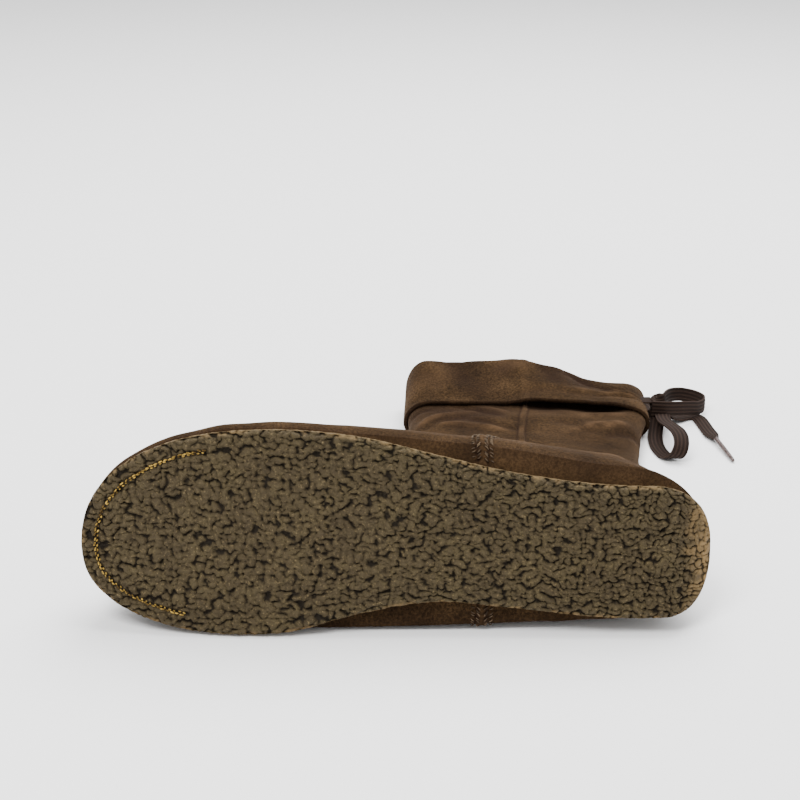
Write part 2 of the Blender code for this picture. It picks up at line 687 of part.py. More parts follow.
def cut_slits(cuff, cutters, ground):
    """Two slits through the cuff's outer wall at the back, where the drawstring comes out."""
    end = -shaft_outline(LACE_REACH, CUFF_STACK)[:, 0].min()
    near = end - CUFF_STACK - LACE_STRAIGHT - SLIT_RUN_IN
    far = end + CUFF_STACK
    for name, over in zip(("slit_lateral", "slit_under"), slit_rises()):
        shape = bmesh.new()
        bmesh.ops.create_cube(shape, size=1.0)
        height = LACE_THICKNESS + 2 * SLIT_CLEARANCE
        size = (far - near, LACE_WIDTH + 2 * SLIT_CLEARANCE, height)
        bmesh.ops.scale(shape, vec=size, verts=shape.verts)
        bmesh.ops.translate(shape, vec=((near + far) / 2, LACE_REACH, over + FLOOR), verts=shape.verts)
        mesh = bpy.data.meshes.new(name)
        shape.to_mesh(mesh)
        shape.free()
        cutter = bpy.data.objects.new(name, mesh)
        cutters.objects.link(cutter)
        cutter.parent = ground
        cutter.hide_render = True
        cutter.display_type = "WIRE"
        cut = cuff.modifiers.new(name, "BOOLEAN")
        cut.operation = "DIFFERENCE"
        cut.solver = "EXACT"
        cut.object = cutter


def stand_on_origin(pieces, empties):
    """Move the whole boot so that the middle of its box is over the origin and its lowest point at 0."""
    bpy.context.view_layer.update()
    graph = bpy.context.evaluated_depsgraph_get()
    corners = []
    for piece in pieces:
        seen = piece.evaluated_get(graph)
        corners += [seen.matrix_world @ Vector(corner) for corner in piece_points(seen)]
    places = np.array(corners)
    low = places.min(axis=0)
    high = places.max(axis=0)
    for empty in empties:
        empty.location = (-(low[0] + high[0]) / 2, -(low[1] + high[1]) / 2, -low[2])


def piece_points(seen):
    """The corners of an evaluated mesh."""
    return [vertex.co.copy() for vertex in seen.data.vertices]


def main():
    clear_scene()
    group = new_collection("mukluk_boot")
    cutters = new_collection("cutters")
    seat = bpy.data.objects.new("seat", None)
    seat.rotation_euler = (math.pi / 2 + LIE_TILT, 0.0, math.pi)
    ground = bpy.data.objects.new("ground", None)
    for empty in (seat, ground):
        group.objects.link(empty)
    suede = material("suede", (0.12, 0.065, 0.035), 0.92)
    crepe = material("crepe_rubber", (0.13, 0.10, 0.06), 0.8)
    felt = material("insole_felt", (0.45, 0.36, 0.26), 0.95)
    lace = material("lace_cotton", (0.05, 0.03, 0.022), 0.85)
    plastic = material("aglet_plastic", (0.10, 0.07, 0.06), 0.25)

    outsole = make_outsole(group, seat, crepe)
    insole = make_insole(group, seat, felt)
    upper = make_upper(group, seat, suede)
    cuff = make_cuff(group, seat, suede)
    cut_slits(cuff, cutters, ground)
    drawstring = make_drawstring(group, ground, lace)

    make_knot(group, ground, lace)
    make_lace_band("lace_loop_upper", UPPER_LOOP, UPRIGHT, group, ground, lace)
    make_lace_band("lace_loop_lower", LOWER_LOOP, ACROSS, group, ground, lace)
    for letter, route, tip in (("a", END_SEEN, TIP_SEEN), ("b", END_HIDDEN, TIP_HIDDEN)):
        make_flat_end(f"lace_end_{letter}", route, group, ground, lace)
        make_aglet(f"aglet_{letter}", route, tip, group, ground, plastic)

    stand_on_origin([outsole, insole, upper, cuff, drawstring], [seat, ground])


main()
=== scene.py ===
# %% [markdown]
# # A mukluk boot lying on its side
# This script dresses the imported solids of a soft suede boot. Every visible skin but the insole's is
# worked out as a function of two parameters, with numpy, from the same few sizes and section tables that
# the solids follow. The finish of each skin comes from procedural shader nodes. Lengths are in metres.

# %% Load the frame
import math

import bpy
import numpy as np
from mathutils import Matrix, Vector


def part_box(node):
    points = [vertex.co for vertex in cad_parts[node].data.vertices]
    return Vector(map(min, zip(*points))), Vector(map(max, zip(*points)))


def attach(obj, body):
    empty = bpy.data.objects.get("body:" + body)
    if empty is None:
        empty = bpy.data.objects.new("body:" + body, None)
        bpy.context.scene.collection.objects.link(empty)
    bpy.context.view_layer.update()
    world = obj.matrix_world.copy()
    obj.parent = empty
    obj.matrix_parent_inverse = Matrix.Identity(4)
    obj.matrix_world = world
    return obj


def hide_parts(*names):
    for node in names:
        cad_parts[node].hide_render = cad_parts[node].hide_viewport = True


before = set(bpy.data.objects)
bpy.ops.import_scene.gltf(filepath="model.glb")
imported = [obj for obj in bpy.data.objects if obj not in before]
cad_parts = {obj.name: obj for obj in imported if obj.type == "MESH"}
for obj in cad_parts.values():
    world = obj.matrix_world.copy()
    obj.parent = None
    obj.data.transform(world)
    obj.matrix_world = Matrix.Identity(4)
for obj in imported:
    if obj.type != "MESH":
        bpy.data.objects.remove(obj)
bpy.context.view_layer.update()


print("solids:", ", ".join(sorted(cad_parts)))

# %% [markdown]
# ## The camera
# The photograph looks down at the tread from in front, about 20 degrees below the horizon, with a long
# lens. The camera is placed from the sole's own box, so that it follows the boot wherever the frame's
# origin is.

# %% Camera
SOLE_LOW, SOLE_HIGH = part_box("outsole")
EYE_FROM_SOLE = (-0.13133, -0.61960, 0.34400)
PITCH_DOWN = math.radians(20.9)
LENS_MM = 75.24
SENSOR_MM = 36.0
CLIP_START = 0.05


def make_camera():
    """The camera: level from side to side, and pitched down."""
    data = bpy.data.cameras.new("camera")
    data.lens = LENS_MM
    data.sensor_width = SENSOR_MM
    data.clip_start = CLIP_START
    camera = bpy.data.objects.new("camera", data)
    bpy.context.collection.objects.link(camera)
    start = (SOLE_HIGH[0], SOLE_LOW[1], 0.0)
    camera.location = [a + b for a, b in zip(start, EYE_FROM_SOLE)]
    camera.rotation_euler = (math.pi / 2 - PITCH_DOWN, 0.0, 0.0)
    bpy.context.scene.camera = camera
    return camera


CAMERA = make_camera()
print("camera at", [round(value, 4) for value in CAMERA.location])

# %% [markdown]
# ## Helpers for grids
# A surface is an array of points with rows and columns. One function turns a stack of closed rings into a
# mesh, and another makes a mesh from whole arrays of points and faces, with a UV map and stored values
# for a finish to follow. Whole arrays are handed to Blender at once, which is far quicker than adding one
# vertex after another.

# %% Grid meshes
MATERIALS = {}


def piece_from_grid(name, points, finish, capped=False, turned=False, masks=None):
    """A mesh from a stack of closed rings (rows, columns, 3): quads between neighbours, smooth shaded.

    capped closes both ends with a fan round the end ring's middle. turned reverses the quads, for grids whose
    rows and columns turn the other way. masks is a set of named values, one for each point.
    """
    rows, columns = points.shape[:2]
    index = np.arange(rows * columns).reshape(rows, columns)
    after = np.roll(index, -1, axis=1)
    faces = [np.stack([index[:-1], after[:-1], after[1:], index[1:]], axis=-1).reshape(-1, 4)]
    flat = points.reshape(-1, 3)
    if capped:
        faces.append(np.stack([after[0], index[0], np.full(columns, len(flat))], axis=-1))
        faces.append(np.stack([index[-1], after[-1], np.full(columns, len(flat) + 1)], axis=-1))
        flat = np.vstack([flat, points[0].mean(axis=0), points[-1].mean(axis=0)])
        masks = {mask: np.append(values, [values[0, 0], values[-1, 0]]) for mask, values in masks.items()}
    faces = [group[:, ::-1] if turned else group for group in faces]
    return piece_from_faces(name, flat, faces, finish, masks=masks)


def piece_from_faces(name, vertices, faces, finish, uv=None, masks=None):
    """A mesh object from an array of points and one or more arrays of faces, each with as many corners."""
    mesh = bpy.data.meshes.new(name)
    faces = faces if isinstance(faces, list) else [faces]
    loops = np.concatenate([group.ravel() for group in faces])
    sizes = np.concatenate([np.full(len(group), group.shape[1]) for group in faces])
    starts = np.append(0, np.cumsum(sizes)[:-1])
    mesh.vertices.add(len(vertices))
    mesh.vertices.foreach_set("co", np.ascontiguousarray(vertices, np.float32).ravel())
    mesh.loops.add(len(loops))
    mesh.loops.foreach_set("vertex_index", loops.astype(np.int32))
    mesh.polygons.add(len(sizes))
    mesh.polygons.foreach_set("loop_start", starts.astype(np.int32))
    mesh.update(calc_edges=True)
    mesh.validate()
    mesh.shade_smooth()
    if uv is not None:
        layer = mesh.uv_layers.new(name="surface")
        layer.data.foreach_set("uv", np.ascontiguousarray(uv[loops], np.float32).ravel())
    for mask, values in (masks or {}).items():
        attribute = mesh.attributes.new(mask, "FLOAT", "POINT")
        attribute.data.foreach_set("value", np.ascontiguousarray(values, np.float32).ravel())
    mesh.materials.append(MATERIALS[finish])
    item = bpy.data.objects.new(name, mesh)
    bpy.context.collection.objects.link(item)
    return item


def ring_normals(points):
    """Outward unit normals of a stack of closed rings: the cross product of the grid's two directions."""
    down = np.gradient(points, axis=0)
    across = (np.roll(points, -1, axis=1) - np.roll(points, 1, axis=1)) / 2
    normal = np.cross(down, across)
    return normal / np.maximum(np.linalg.norm(normal, axis=-1, keepdims=True), 1e-12)


def solidify(item, thickness, offset):
    """A wall of even thickness."""
    wall = item.modifiers.new("wall", "SOLIDIFY")
    wall.thickness = thickness
    wall.offset = offset
    wall.use_even_offset = False
    wall.use_rim = True


# %% [markdown]
# ## Soft noise
# Suede and crepe are never quite even. Blender's noise nodes only reach the shader, so a small noise is
# written here for moving the points. Each whole-number cell gets its own fixed value, and the values are
# blended softly, so that the result is the same in every run. The other helpers are the soft steps, bells
# and curves of the forms.

# %% Soft noise
def hash_noise(cell_x, cell_y, seed):
    """A repeatable value from 0 to 1 for each whole-number cell: the fraction of a large sine."""
    value = np.sin(cell_x * 127.1 + cell_y * 311.7 + seed * 74.7) * 43758.5453
    return value - np.floor(value)


def value_noise(x, y, seed):
    """Smooth noise from 0 to 1: hash values at whole numbers, blended with a smooth step between them."""
    cell_x = np.floor(x)
    cell_y = np.floor(y)
    part_x = x - cell_x
    part_y = y - cell_y
    part_x = part_x * part_x * (3 - 2 * part_x)
    part_y = part_y * part_y * (3 - 2 * part_y)
    sides = []
    for step_y in (0, 1):
        left = hash_noise(cell_x, cell_y + step_y, seed)
        right = hash_noise(cell_x + 1, cell_y + step_y, seed)
        sides.append(left * (1 - part_x) + right * part_x)
    return sides[0] * (1 - part_y) + sides[1] * part_y


def noise_of_pitch(x, y, pitch, seed):
    """Smooth noise from 0 to 1 with cells of one pitch."""
    return value_noise(x / pitch, y / pitch, seed)


def soft_push(x, y, waves, seed):
    """How far soft waves push a point: (noise - 1/2) size, for waves of a pitch and a size."""
    pitch, size = waves
    return (noise_of_pitch(x, y, pitch, seed) - 0.5) * size


def bell(at, middle, width):
    """1 at the middle, falling off on both sides: exp(-((at - middle) / width)^2)."""
    return np.exp(-(((at - middle) / width) ** 2))


def step_up(at, start, end):
    """0 before start, 1 after end, and a soft step between."""
    t = np.clip((at - start) / (end - start), 0.0, 1.0)
    return t * t * (3 - 2 * t)


def rounded_end(distance, length, power=2.0):
    """A quarter ellipse: 0 at an end and 1 from length on. A power over 2 makes the corner fuller."""
    t = np.clip(distance / length, 0.0, 1.0)
    return (1 - (1 - t) ** power) ** (1 / power)


def smooth_between(at, stations, values):
    """A smooth curve through a short table's values, flat past its ends."""
    stations = np.asarray(stations, float)
    values = np.asarray(values, float)
    slopes = np.gradient(values, stations)
    slopes[0] = 0.0
    slopes[-1] = 0.0
    at = np.clip(at, stations[0], stations[-1])
    right = np.clip(np.searchsorted(stations, at, side="right"), 1, len(stations) - 1)
    left = right - 1
    span = stations[right] - stations[left]
    t = (at - stations[left]) / span
    rise = t * t * (3 - 2 * t)
    bend = span * t * (1 - t) * (slopes[left] * (1 - t) - slopes[right] * t)
    return values[left] * (1 - rise) + values[right] * rise + bend


# %% [markdown]
# ## The boot's own sizes
# The boot was drawn standing on its tread and then laid down. Its sole is an outline of half widths, and
# its upper is a stack of rings: foot rings follow the outline, and slack rings lie between the floor and
# the upper side. These tables are the solids' own, so every new skin lies on the solid that it replaces.
# A few places follow the photograph more closely and move the skin by at most about 5 mm: the sole's two
# edges and the corners of its heel and toe, the upper's back edge over the heel, the side seam, and the
# fold's front corner.

# %% Sizes and tables
FOOT_LENGTH = 0.2657
BALL_WIDTH = 0.0885
SOLE_THICKNESS = 0.005
SOLE_EDGE_BEVEL = 0.0008
TOE_SPRING = 0.008
HEEL_ROLL = 0.010
HEEL_ROLL_LENGTH = 0.022
BALL_AT = 0.67
CORNER_NAMES = (
    "heel_out heel_in toe_out toe_in "
    "heel_out_power heel_in_power toe_out_power toe_in_power"
).split()
SOLID_CORNERS = dict(zip(CORNER_NAMES, (0.028, 0.028, 0.078, 0.048, 2.0, 2.0, 2.0, 2.0)))
SKIN_CORNERS = dict(zip(CORNER_NAMES, (0.027, 0.023, 0.078, 0.080, 2.1, 2.5, 2.2, 2.35)))
LAST_TOE_POWER = 2.2
LEATHER = 0.002
CLEARANCE = 0.0003
INSTEP_HEIGHT = 0.0667
SHAFT_HEIGHT = 0.2627
SHAFT_WIDTH = 0.1275
SHAFT_SLACK = 0.0164
MARGIN_WIDTH = 0.008
FEATHER_INSET = 0.0007
FEATHER_RADIUS = 0.0017
SEAM_WIDTH = 0.003
SEAM_RISE = 0.0008
FLOOR_SOFTNESS = 0.0015
SHAFT_FOLD_SHARE = 0.42
LIE_TILT = math.radians(14)
CUFF_DEPTH = 0.044
SHAFT_RIM_BELOW_FOLD = 0.030
HEM_STAND_OFF = 0.0022
CUFF_GAP = 0.0005
LACE_WIDTH = 0.008
LACE_THICKNESS = 0.0015
LACE_STRAIGHT = 0.006
RIBS = 4
LACE_BELOW_FOLD = 0.022
KNOT_LENGTH = 0.0112
KNOT_DEPTH = 0.0100
KNOT_HEIGHT = 0.0160
AXIS = 0.43 * BALL_WIDTH
SOLE_TOP = SOLE_THICKNESS + CLEARANCE
FOLD_REACH = SOLE_TOP + SHAFT_HEIGHT
HEM_REACH = FOLD_REACH - CUFF_DEPTH
RIM_REACH = FOLD_REACH - SHAFT_RIM_BELOW_FOLD
LACE_REACH = FOLD_REACH - LACE_BELOW_FOLD
CUFF_STACK = LEATHER + CUFF_GAP
CUFF_SEAM_RISE = 0.0003

OUTLINE = np.array([
    # along, sole lateral, sole medial, last lateral, last medial
    (0.00, 0.290, 0.335, 0.370, 0.340),
    (0.16, 0.291, 0.338, 0.400, 0.380),
    (0.34, 0.366, 0.284, 0.488, 0.400),
    (0.43, 0.430, 0.261, 0.515, 0.410),
    (0.56, 0.521, 0.320, 0.550, 0.418),
    (0.67, 0.553, 0.408, 0.575, 0.422),
    (0.76, 0.552, 0.424, 0.575, 0.424),
    (1.00, 0.552, 0.424, 0.575, 0.424),
])
SOLE_SIDES = (1, 2)
LAST_SIDES = (3, 4)
RING_COLUMNS = (
    "back front rise_back rise_front slack bed wide_heel wide_waist wide_ball "
    "thick_back thick_mid thick_front round_back round_out round_in seam"
).split()
RINGS = np.array([
    (0.006, 0.997, 0.025, 0.025, 0.00, 1.0, 0.95, 0.96, 0.97, 3.50, 4.00, 3.60, 0.120, 0.290, 0.190, 0.362),
    (0.012, 1.002, 0.148, 0.097, 0.00, 0.8, 1.00, 1.00, 1.00, 3.50, 4.00, 3.60, 0.160, 0.310, 0.190, 0.356),
    (0.019, 0.989, 0.331, 0.250, 0.00, 0.6, 1.00, 0.98, 0.97, 3.40, 3.80, 3.50, 0.160, 0.320, 0.220, 0.349),
    (0.024, 0.954, 0.544, 0.397, 0.00, 0.4, 0.94, 0.92, 0.88, 3.30, 3.60, 3.40, 0.160, 0.350, 0.280, 0.345),
    (0.030, 0.893, 0.757, 0.515, 0.00, 0.2, 0.88, 0.83, 0.81, 3.20, 3.40, 3.30, 0.160, 0.410, 0.350, 0.352),
    (0.036, 0.802, 0.968, 0.618, 0.00, 0.1, 0.83, 0.75, 0.77, 3.00, 3.20, 3.00, 0.160, 0.460, 0.420, 0.375),
    (0.040, 0.721, 1.042, 0.637, 0.05, 0.0, 0.79, 0.71, 0.75, 2.80, 3.00, 2.80, 0.165, 0.490, 0.470, 0.410),
    (0.041, 0.682, 0.885, 0.554, 0.20, 0.0, 0.78, 0.69, 0.73, 2.40, 2.60, 2.60, 0.180, 0.460, 0.450, 0.450),
    (0.038, 0.703, 0.695, 0.482, 0.45, 0.0, 0.78, 0.69, 0.75, 2.00, 2.20, 2.20, 0.200, 0.380, 0.380, 0.485),
    (0.040, 0.778, 0.597, 0.479, 0.70, 0.0, 0.77, 0.69, 0.78, 1.70, 1.90, 1.90, 0.200, 0.320, 0.320, 0.505),
    (0.040, 0.895, 0.562, 0.513, 0.90, 0.0, 0.77, 0.69, 0.80, 1.40, 1.60, 1.60, 0.190, 0.250, 0.250, 0.515),
    (0.036, 0.988, 0.581, 0.570, 1.00, 0.0, 0.77, 0.69, 0.80, 1.20, 1.46, 1.46, 0.170, 0.200, 0.200, 0.520),
    (0.031, 0.992, 0.650, 0.650, 1.00, 0.0, 0.77, 0.69, 0.80, 1.10, 1.34, 1.34, 0.150, 0.170, 0.170, 0.515),
    (0.015, 0.994, 0.741, 0.741, 1.00, 0.0, 0.77, 0.69, 0.80, 1.00, 1.15, 1.18, 0.120, 0.140, 0.140, 0.510),
    (-0.005, 0.996, 0.825, 0.825, 1.00, 0.0, 0.77, 0.69, 0.80, 0.85, 0.96, 0.98, 0.100, 0.100, 0.120, 0.508),
    (-0.010, 0.993, 0.886, 0.886, 1.00, 0.0, 0.77, 0.69, 0.80, 0.80, 1.12, 1.14, 0.090, 0.080, 0.115, 0.506),
    (-0.016, 0.984, 1.000, 1.000, 1.00, 0.0, 0.77, 0.69, 0.80, 0.68, 1.40, 1.54, 0.080, 0.072, 0.110, 0.508),
])
WIDTH_STATIONS = np.array([0.13, 0.40, 0.67])
RING_STEPS = np.arange(len(RINGS), dtype=float)


def half_widths(along, sides):
    """The lateral and medial half widths of the sole, or of the last, at a length from the heel."""
    share = along / FOOT_LENGTH
    lateral, medial = (smooth_between(share, OUTLINE[:, 0], OUTLINE[:, side]) for side in sides)
    return lateral * BALL_WIDTH, medial * BALL_WIDTH


def bed_height(along):
    """How far the sole's sheet curls up: rolled at the heel and sprung at the toe."""
    roll = np.clip((HEEL_ROLL_LENGTH - along) / HEEL_ROLL_LENGTH, 0.0, 1.2)
    ball = BALL_AT * FOOT_LENGTH
    spring = np.clip((along - ball) / (FOOT_LENGTH - ball), 0.0, 1.2)
    return HEEL_ROLL * roll**2 + TOE_SPRING * spring**2


def outline_sides(share, inset, corners=SKIN_CORNERS):
    """The outline drawn in by inset: the length from the heel, and the lateral and medial edges there."""
    back = inset
    front = FOOT_LENGTH - inset
    along = back + share * (front - back)
    sides = []
    for half, side in zip(half_widths(along, SOLE_SIDES), ("out", "in")):
        heel = rounded_end(along - back, corners["heel_" + side], corners[f"heel_{side}_power"])
        toe = rounded_end(front - along, corners["toe_" + side] - inset, corners[f"toe_{side}_power"])
        sides.append((half - inset) * heel * toe)
    return along, AXIS + sides[0], AXIS - sides[1]


def lowest_edge():
    """How high the sole's lowest point is over the origin's level, once the boot lies down."""
    along, _, medial = outline_sides(np.linspace(0, 1, 400), 0.0, SOLID_CORNERS)
    edge = bed_height(along) + SOLE_THICKNESS - SOLE_EDGE_BEVEL
    return float(np.min(medial * math.cos(LIE_TILT) - edge * math.sin(LIE_TILT)))


FLOOR = lowest_edge()
CUFF_LOW, CUFF_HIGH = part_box("cuff")
SHIFT = np.array([SOLE_HIGH[0], CUFF_HIGH[1] - FOLD_REACH, CUFF_LOW[2] - FLOOR])


def laid_down(along, side, high):
    """Points of the standing boot turned onto its medial side and moved into the frame."""
    away = side * math.sin(LIE_TILT) + high * math.cos(LIE_TILT)
    over = side * math.cos(LIE_TILT) - high * math.sin(LIE_TILT)
    return np.stack([SHIFT[0] - along, SHIFT[1] + away, SHIFT[2] + over], axis=-1)


def on_floor(along, away, over):
    """Points of the slack shaft: its own lengths along and away, and the height over the floor."""
    along, away, over = np.broadcast_arrays(along, away, over)
    return np.stack([SHIFT[0] - along, SHIFT[1] + away, SHIFT[2] + FLOOR + over], axis=-1)


print("sole", round(FOOT_LENGTH * 1000), "mm long, fold", round(FOLD_REACH * 1000), "mm from the tread")

# %% [markdown]
# ## Finishes
# A finish is a small net of shader nodes. It reads the place on the object, the UV map, or a value that
# was stored on each point: a stored wear value makes rubbed places lighter and also carries painted
# highlights and painted light, shade is painted shade in creases, gutters and hollows, and gap is painted
# shade in the crepe's cracks, pits and groove. Each helper adds one node, so that a finish below reads as
# a recipe. Even values go on the shader's own sockets.

# %% Node helpers
def new_finish(name, roughness, sheen=0.0, sheen_roughness=0.5, specular=0.5):
    """A material with its Principled BSDF: the even values go on the shader's own sockets."""
    finish = bpy.data.materials.new(name)
    finish.use_nodes = True
    shader = finish.node_tree.nodes["Principled BSDF"]
    shader.inputs["Roughness"].default_value = roughness
    shader.inputs["Sheen Weight"].default_value = sheen
    shader.inputs["Sheen Roughness"].default_value = sheen_roughness
    shader.inputs["Specular IOR Level"].default_value = specular
    MATERIALS[name] = finish
    return finish.node_tree, shader


def noise_node(tree, vector, scale, detail=4.0, roughness=0.55, distortion=0.0):
    """Smooth noise of a place, from 0 to 1. Distortion makes its shapes curl."""
    node = tree.nodes.new("ShaderNodeTexNoise")
    node.inputs["Distortion"].default_value = distortion
    node.inputs["Scale"].default_value = scale
    node.inputs["Detail"].default_value = detail
    node.inputs["Roughness"].default_value = roughness
    tree.links.new(vector, node.inputs["Vector"])
    return node.outputs["Fac"]


def ramp_node(tree, value, stops):
    """Colours at positions along a value from 0 to 1."""
    node = tree.nodes.new("ShaderNodeValToRGB")
    ramp = node.color_ramp
    while len(ramp.elements) < len(stops):
        ramp.elements.new(1.0)
    for element, (position, colour) in zip(ramp.elements, stops):
        element.position = position
        element.color = (*colour, 1.0)
    tree.links.new(value, node.inputs["Fac"])
    return node.outputs["Color"]


def range_node(tree, value, low, high, new_low=0.0, new_high=1.0):
    """A value from one range mapped to another, and held there."""
    node = tree.nodes.new("ShaderNodeMapRange")
    for socket, number in zip(("From Min", "From Max", "To Min", "To Max"), (low, high, new_low, new_high)):
        node.inputs[socket].default_value = number
    tree.links.new(value, node.inputs["Value"])
    return node.outputs["Result"]


def mix_node(tree, factor, first, second, blend="MIX"):
    """Two colours mixed by a value."""
    node = tree.nodes.new("ShaderNodeMix")
    node.data_type = "RGBA"
    node.blend_type = blend
    for socket, given in zip((0, 6, 7), (factor, first, second)):
        if isinstance(given, (int, float)):
            node.inputs[socket].default_value = given
        elif isinstance(given, tuple):
            node.inputs[socket].default_value = (*given, 1.0)
        else:
            tree.links.new(given, node.inputs[socket])
    return node.outputs[2]


def math_node(tree, operation, first, second):
    """One sum on two values."""
    node = tree.nodes.new("ShaderNodeMath")
    node.operation = operation
    for socket, given in zip((0, 1), (first, second)):
        if isinstance(given, (int, float)):
            node.inputs[socket].default_value = given
        else:
            tree.links.new(given, node.inputs[socket])
    return node.outputs[0]


def blended(tree, first, second, share):
    """Two values added, the first with this share and the second with the rest."""
    scaled = math_node(tree, "MULTIPLY", first, share)
    return math_node(tree, "ADD", scaled, math_node(tree, "MULTIPLY", second, 1 - share))


def bump_node(tree, height, strength, distance, before=None):
    """A normal tilted by a height's slope, on top of an earlier one where it is given."""
    node = tree.nodes.new("ShaderNodeBump")
    node.inputs["Strength"].default_value = strength
    node.inputs["Distance"].default_value = distance
    tree.links.new(height, node.inputs["Height"])
    if before is not None:
        tree.links.new(before, node.inputs["Normal"])
    return node.outputs["Normal"]


def stored_value(tree, name):
    """A value that was stored on each point of the mesh."""
    node = tree.nodes.new("ShaderNodeAttribute")
    node.attribute_name = name
    return node.outputs["Fac"]


def object_place(tree):
    """The place in the object's own lengths."""
    return tree.nodes.new("ShaderNodeTexCoord").outputs["Object"]


# %% [markdown]
# Suede is leather with its fibres brushed up. It has no gloss, its nap catches light at a glancing angle,
# and brushed patches look lighter or darker. Here a broad noise makes the patches, a finer one the nap,
# and a very fine one the speckle and a fibrous bump. A picture of leather would be quicker, but it would
# repeat.

# %% Suede
SUEDE_DARK = (0.0165, 0.0093, 0.0045)
SUEDE_BODY = (0.0270, 0.0152, 0.0068)
SUEDE_LIGHT = (0.0430, 0.0246, 0.0112)
SUEDE_WEAR_AND_LIGHT = (0.1250, 0.0710, 0.0360)
SUEDE_SHADE = (0.012, 0.006, 0.004)
SUEDE_SHEEN = (0.80, 0.52, 0.34, 1.0)
SUEDE_STOPS = ((0.34, SUEDE_DARK), (0.50, SUEDE_BODY), (0.68, SUEDE_LIGHT))
SUEDE_SPECKLE = ((0.0, (0.45,) * 3), (1.0, (1.58,) * 3))
PATCH_SHARE = 0.78


def make_suede():
    """Blotchy brown nap: patches from broad noise, brushing from finer noise, fibres as bump."""
    tree, shader = new_finish("suede", 0.94, sheen=0.09, sheen_roughness=0.30, specular=0.04)
    shader.inputs["Sheen Tint"].default_value = SUEDE_SHEEN
    place = object_place(tree)
    patches = noise_node(tree, place, 46.0, detail=1.5)
    brushed = noise_node(tree, place, 240.0, detail=4.0, roughness=0.60)
    fibres = noise_node(tree, place, 900.0, detail=5.0, roughness=0.75)
    colour = ramp_node(tree, blended(tree, patches, brushed, PATCH_SHARE), SUEDE_STOPS)
    speckle = ramp_node(tree, range_node(tree, fibres, 0.40, 0.62), SUEDE_SPECKLE)
    colour = mix_node(tree, 1.0, colour, speckle, "MULTIPLY")
    # lighter where the nap is worn and with painted highlights and painted light, then darker with painted
    # shade
    colour = mix_node(tree, stored_value(tree, "wear_and_painted_light"), colour, SUEDE_WEAR_AND_LIGHT)
    colour = mix_node(tree, stored_value(tree, "shade"), colour, SUEDE_SHADE)
    tree.links.new(colour, shader.inputs["Base Color"])
    normal = bump_node(tree, fibres, 0.65, 0.0006)
    normal = bump_node(tree, brushed, 0.10, 0.0008, normal)
    tree.links.new(normal, shader.inputs["Normal"])


make_suede()


# %% [markdown]
# Crepe is rubber latex that was left to set in sheets. Its surface is a crowd of rounded lumps with deep
# gaps between them. The lumps are real geometry here, so the shader adds only the colour: painted shade
# in the gaps and pits, olive on the lumps, tan where the rubber is worn, and a fine crumb with pale
# flecks and painted glints.

# %% Crepe, felt, thread, lace and plastic
CREPE_STOPS = (
    (0.34, (0.043, 0.031, 0.0158)),
    (0.50, (0.055, 0.0405, 0.0200)),
    (0.66, (0.068, 0.051, 0.0240)),
)
CREPE_FLECK_AND_GLINT = (0.25, 0.18, 0.085)
CREPE_CRACK_SHADE = (0.012, 0.008, 0.005)
CREPE_WORN = (0.26, 0.165, 0.070)
CREPE_PIT_SHADE = (0.0085, 0.0060, 0.0036)
FELT_STOPS = ((0.3, (0.20, 0.14, 0.09)), (0.7, (0.34, 0.25, 0.17)))
YARN_STOPS = ((0.0, (0.0080, 0.0042, 0.0028)), (0.8, (0.0210, 0.0116, 0.0078)))
LACE_RIB = (0.0400, 0.0235, 0.0170)
AGLET_STOPS = ((0.35, (0.035, 0.020, 0.017)), (0.7, (0.095, 0.062, 0.055)))
TOE_THREAD = ((0.060, 0.034, 0.008), (0.44, 0.28, 0.060))
SEAM_THREAD = ((0.030, 0.019, 0.011), (0.118, 0.080, 0.048))
WEAVE_ANGLE = 38.0
WEAVE_SCALE = 420.0


def make_crepe():
    """Olive rubber: the stored value called gap paints shade into the cracks, pits and groove, and the stored
    wear value turns rubbed rubber tan.
    """
    tree, shader = new_finish("crepe_rubber", 0.70, specular=0.14)
    place = object_place(tree)
    patches = noise_node(tree, place, 60.0, detail=3.0)
    crumb = noise_node(tree, place, 900.0, detail=5.0, roughness=0.7)
    lumps = noise_node(tree, place, 330.0, detail=2.0)
    colour = ramp_node(tree, blended(tree, patches, lumps, 0.45), CREPE_STOPS)
    # pale flecks: crumbs of the rubber and painted glints
    flecks_and_glints = range_node(tree, crumb, 0.56, 0.70)
    colour = mix_node(tree, math_node(tree, "MULTIPLY", flecks_and_glints, 0.50), colour, CREPE_FLECK_AND_GLINT)
    # painted shade of thin curling cracks, drawn as dark lines
    curl = noise_node(tree, place, 420.0, detail=2.0, roughness=0.5, distortion=1.6)
    squiggle = math_node(tree, "ABSOLUTE", math_node(tree, "SUBTRACT", curl, 0.5), 0.0)
    line = range_node(tree, squiggle, 0.0, 0.040, 0.30, 0.0)
    colour = mix_node(tree, line, colour, CREPE_CRACK_SHADE)
    colour = mix_node(tree, stored_value(tree, "wear_and_painted_light"), colour, CREPE_WORN)
    # painted shade in the cracks, pits and groove, from the stored gap value
    pit = range_node(tree, stored_value(tree, "gap"), 0.30, 0.92, 0.0, 0.92)
    colour = mix_node(tree, pit, colour, CREPE_PIT_SHADE)
    tree.links.new(colour, shader.inputs["Base Color"])
    normal = bump_node(tree, crumb, 0.6, 0.0006)
    normal = bump_node(tree, range_node(tree, squiggle, 0.0, 0.09), 0.5, 0.0006, normal)
    tree.links.new(normal, shader.inputs["Normal"])


def make_felt():
    """Pressed fibres: tan, matt, and faintly mottled."""
    tree, shader = new_finish("insole_felt", 0.95, sheen=0.3, specular=0.1)
    place = object_place(tree)
    fibres = noise_node(tree, place, 700.0, detail=6.0, roughness=0.7)
    colour = ramp_node(tree, fibres, FELT_STOPS)
    tree.links.new(colour, shader.inputs["Base Color"])
    tree.links.new(bump_node(tree, fibres, 0.5, 0.0005), shader.inputs["Normal"])


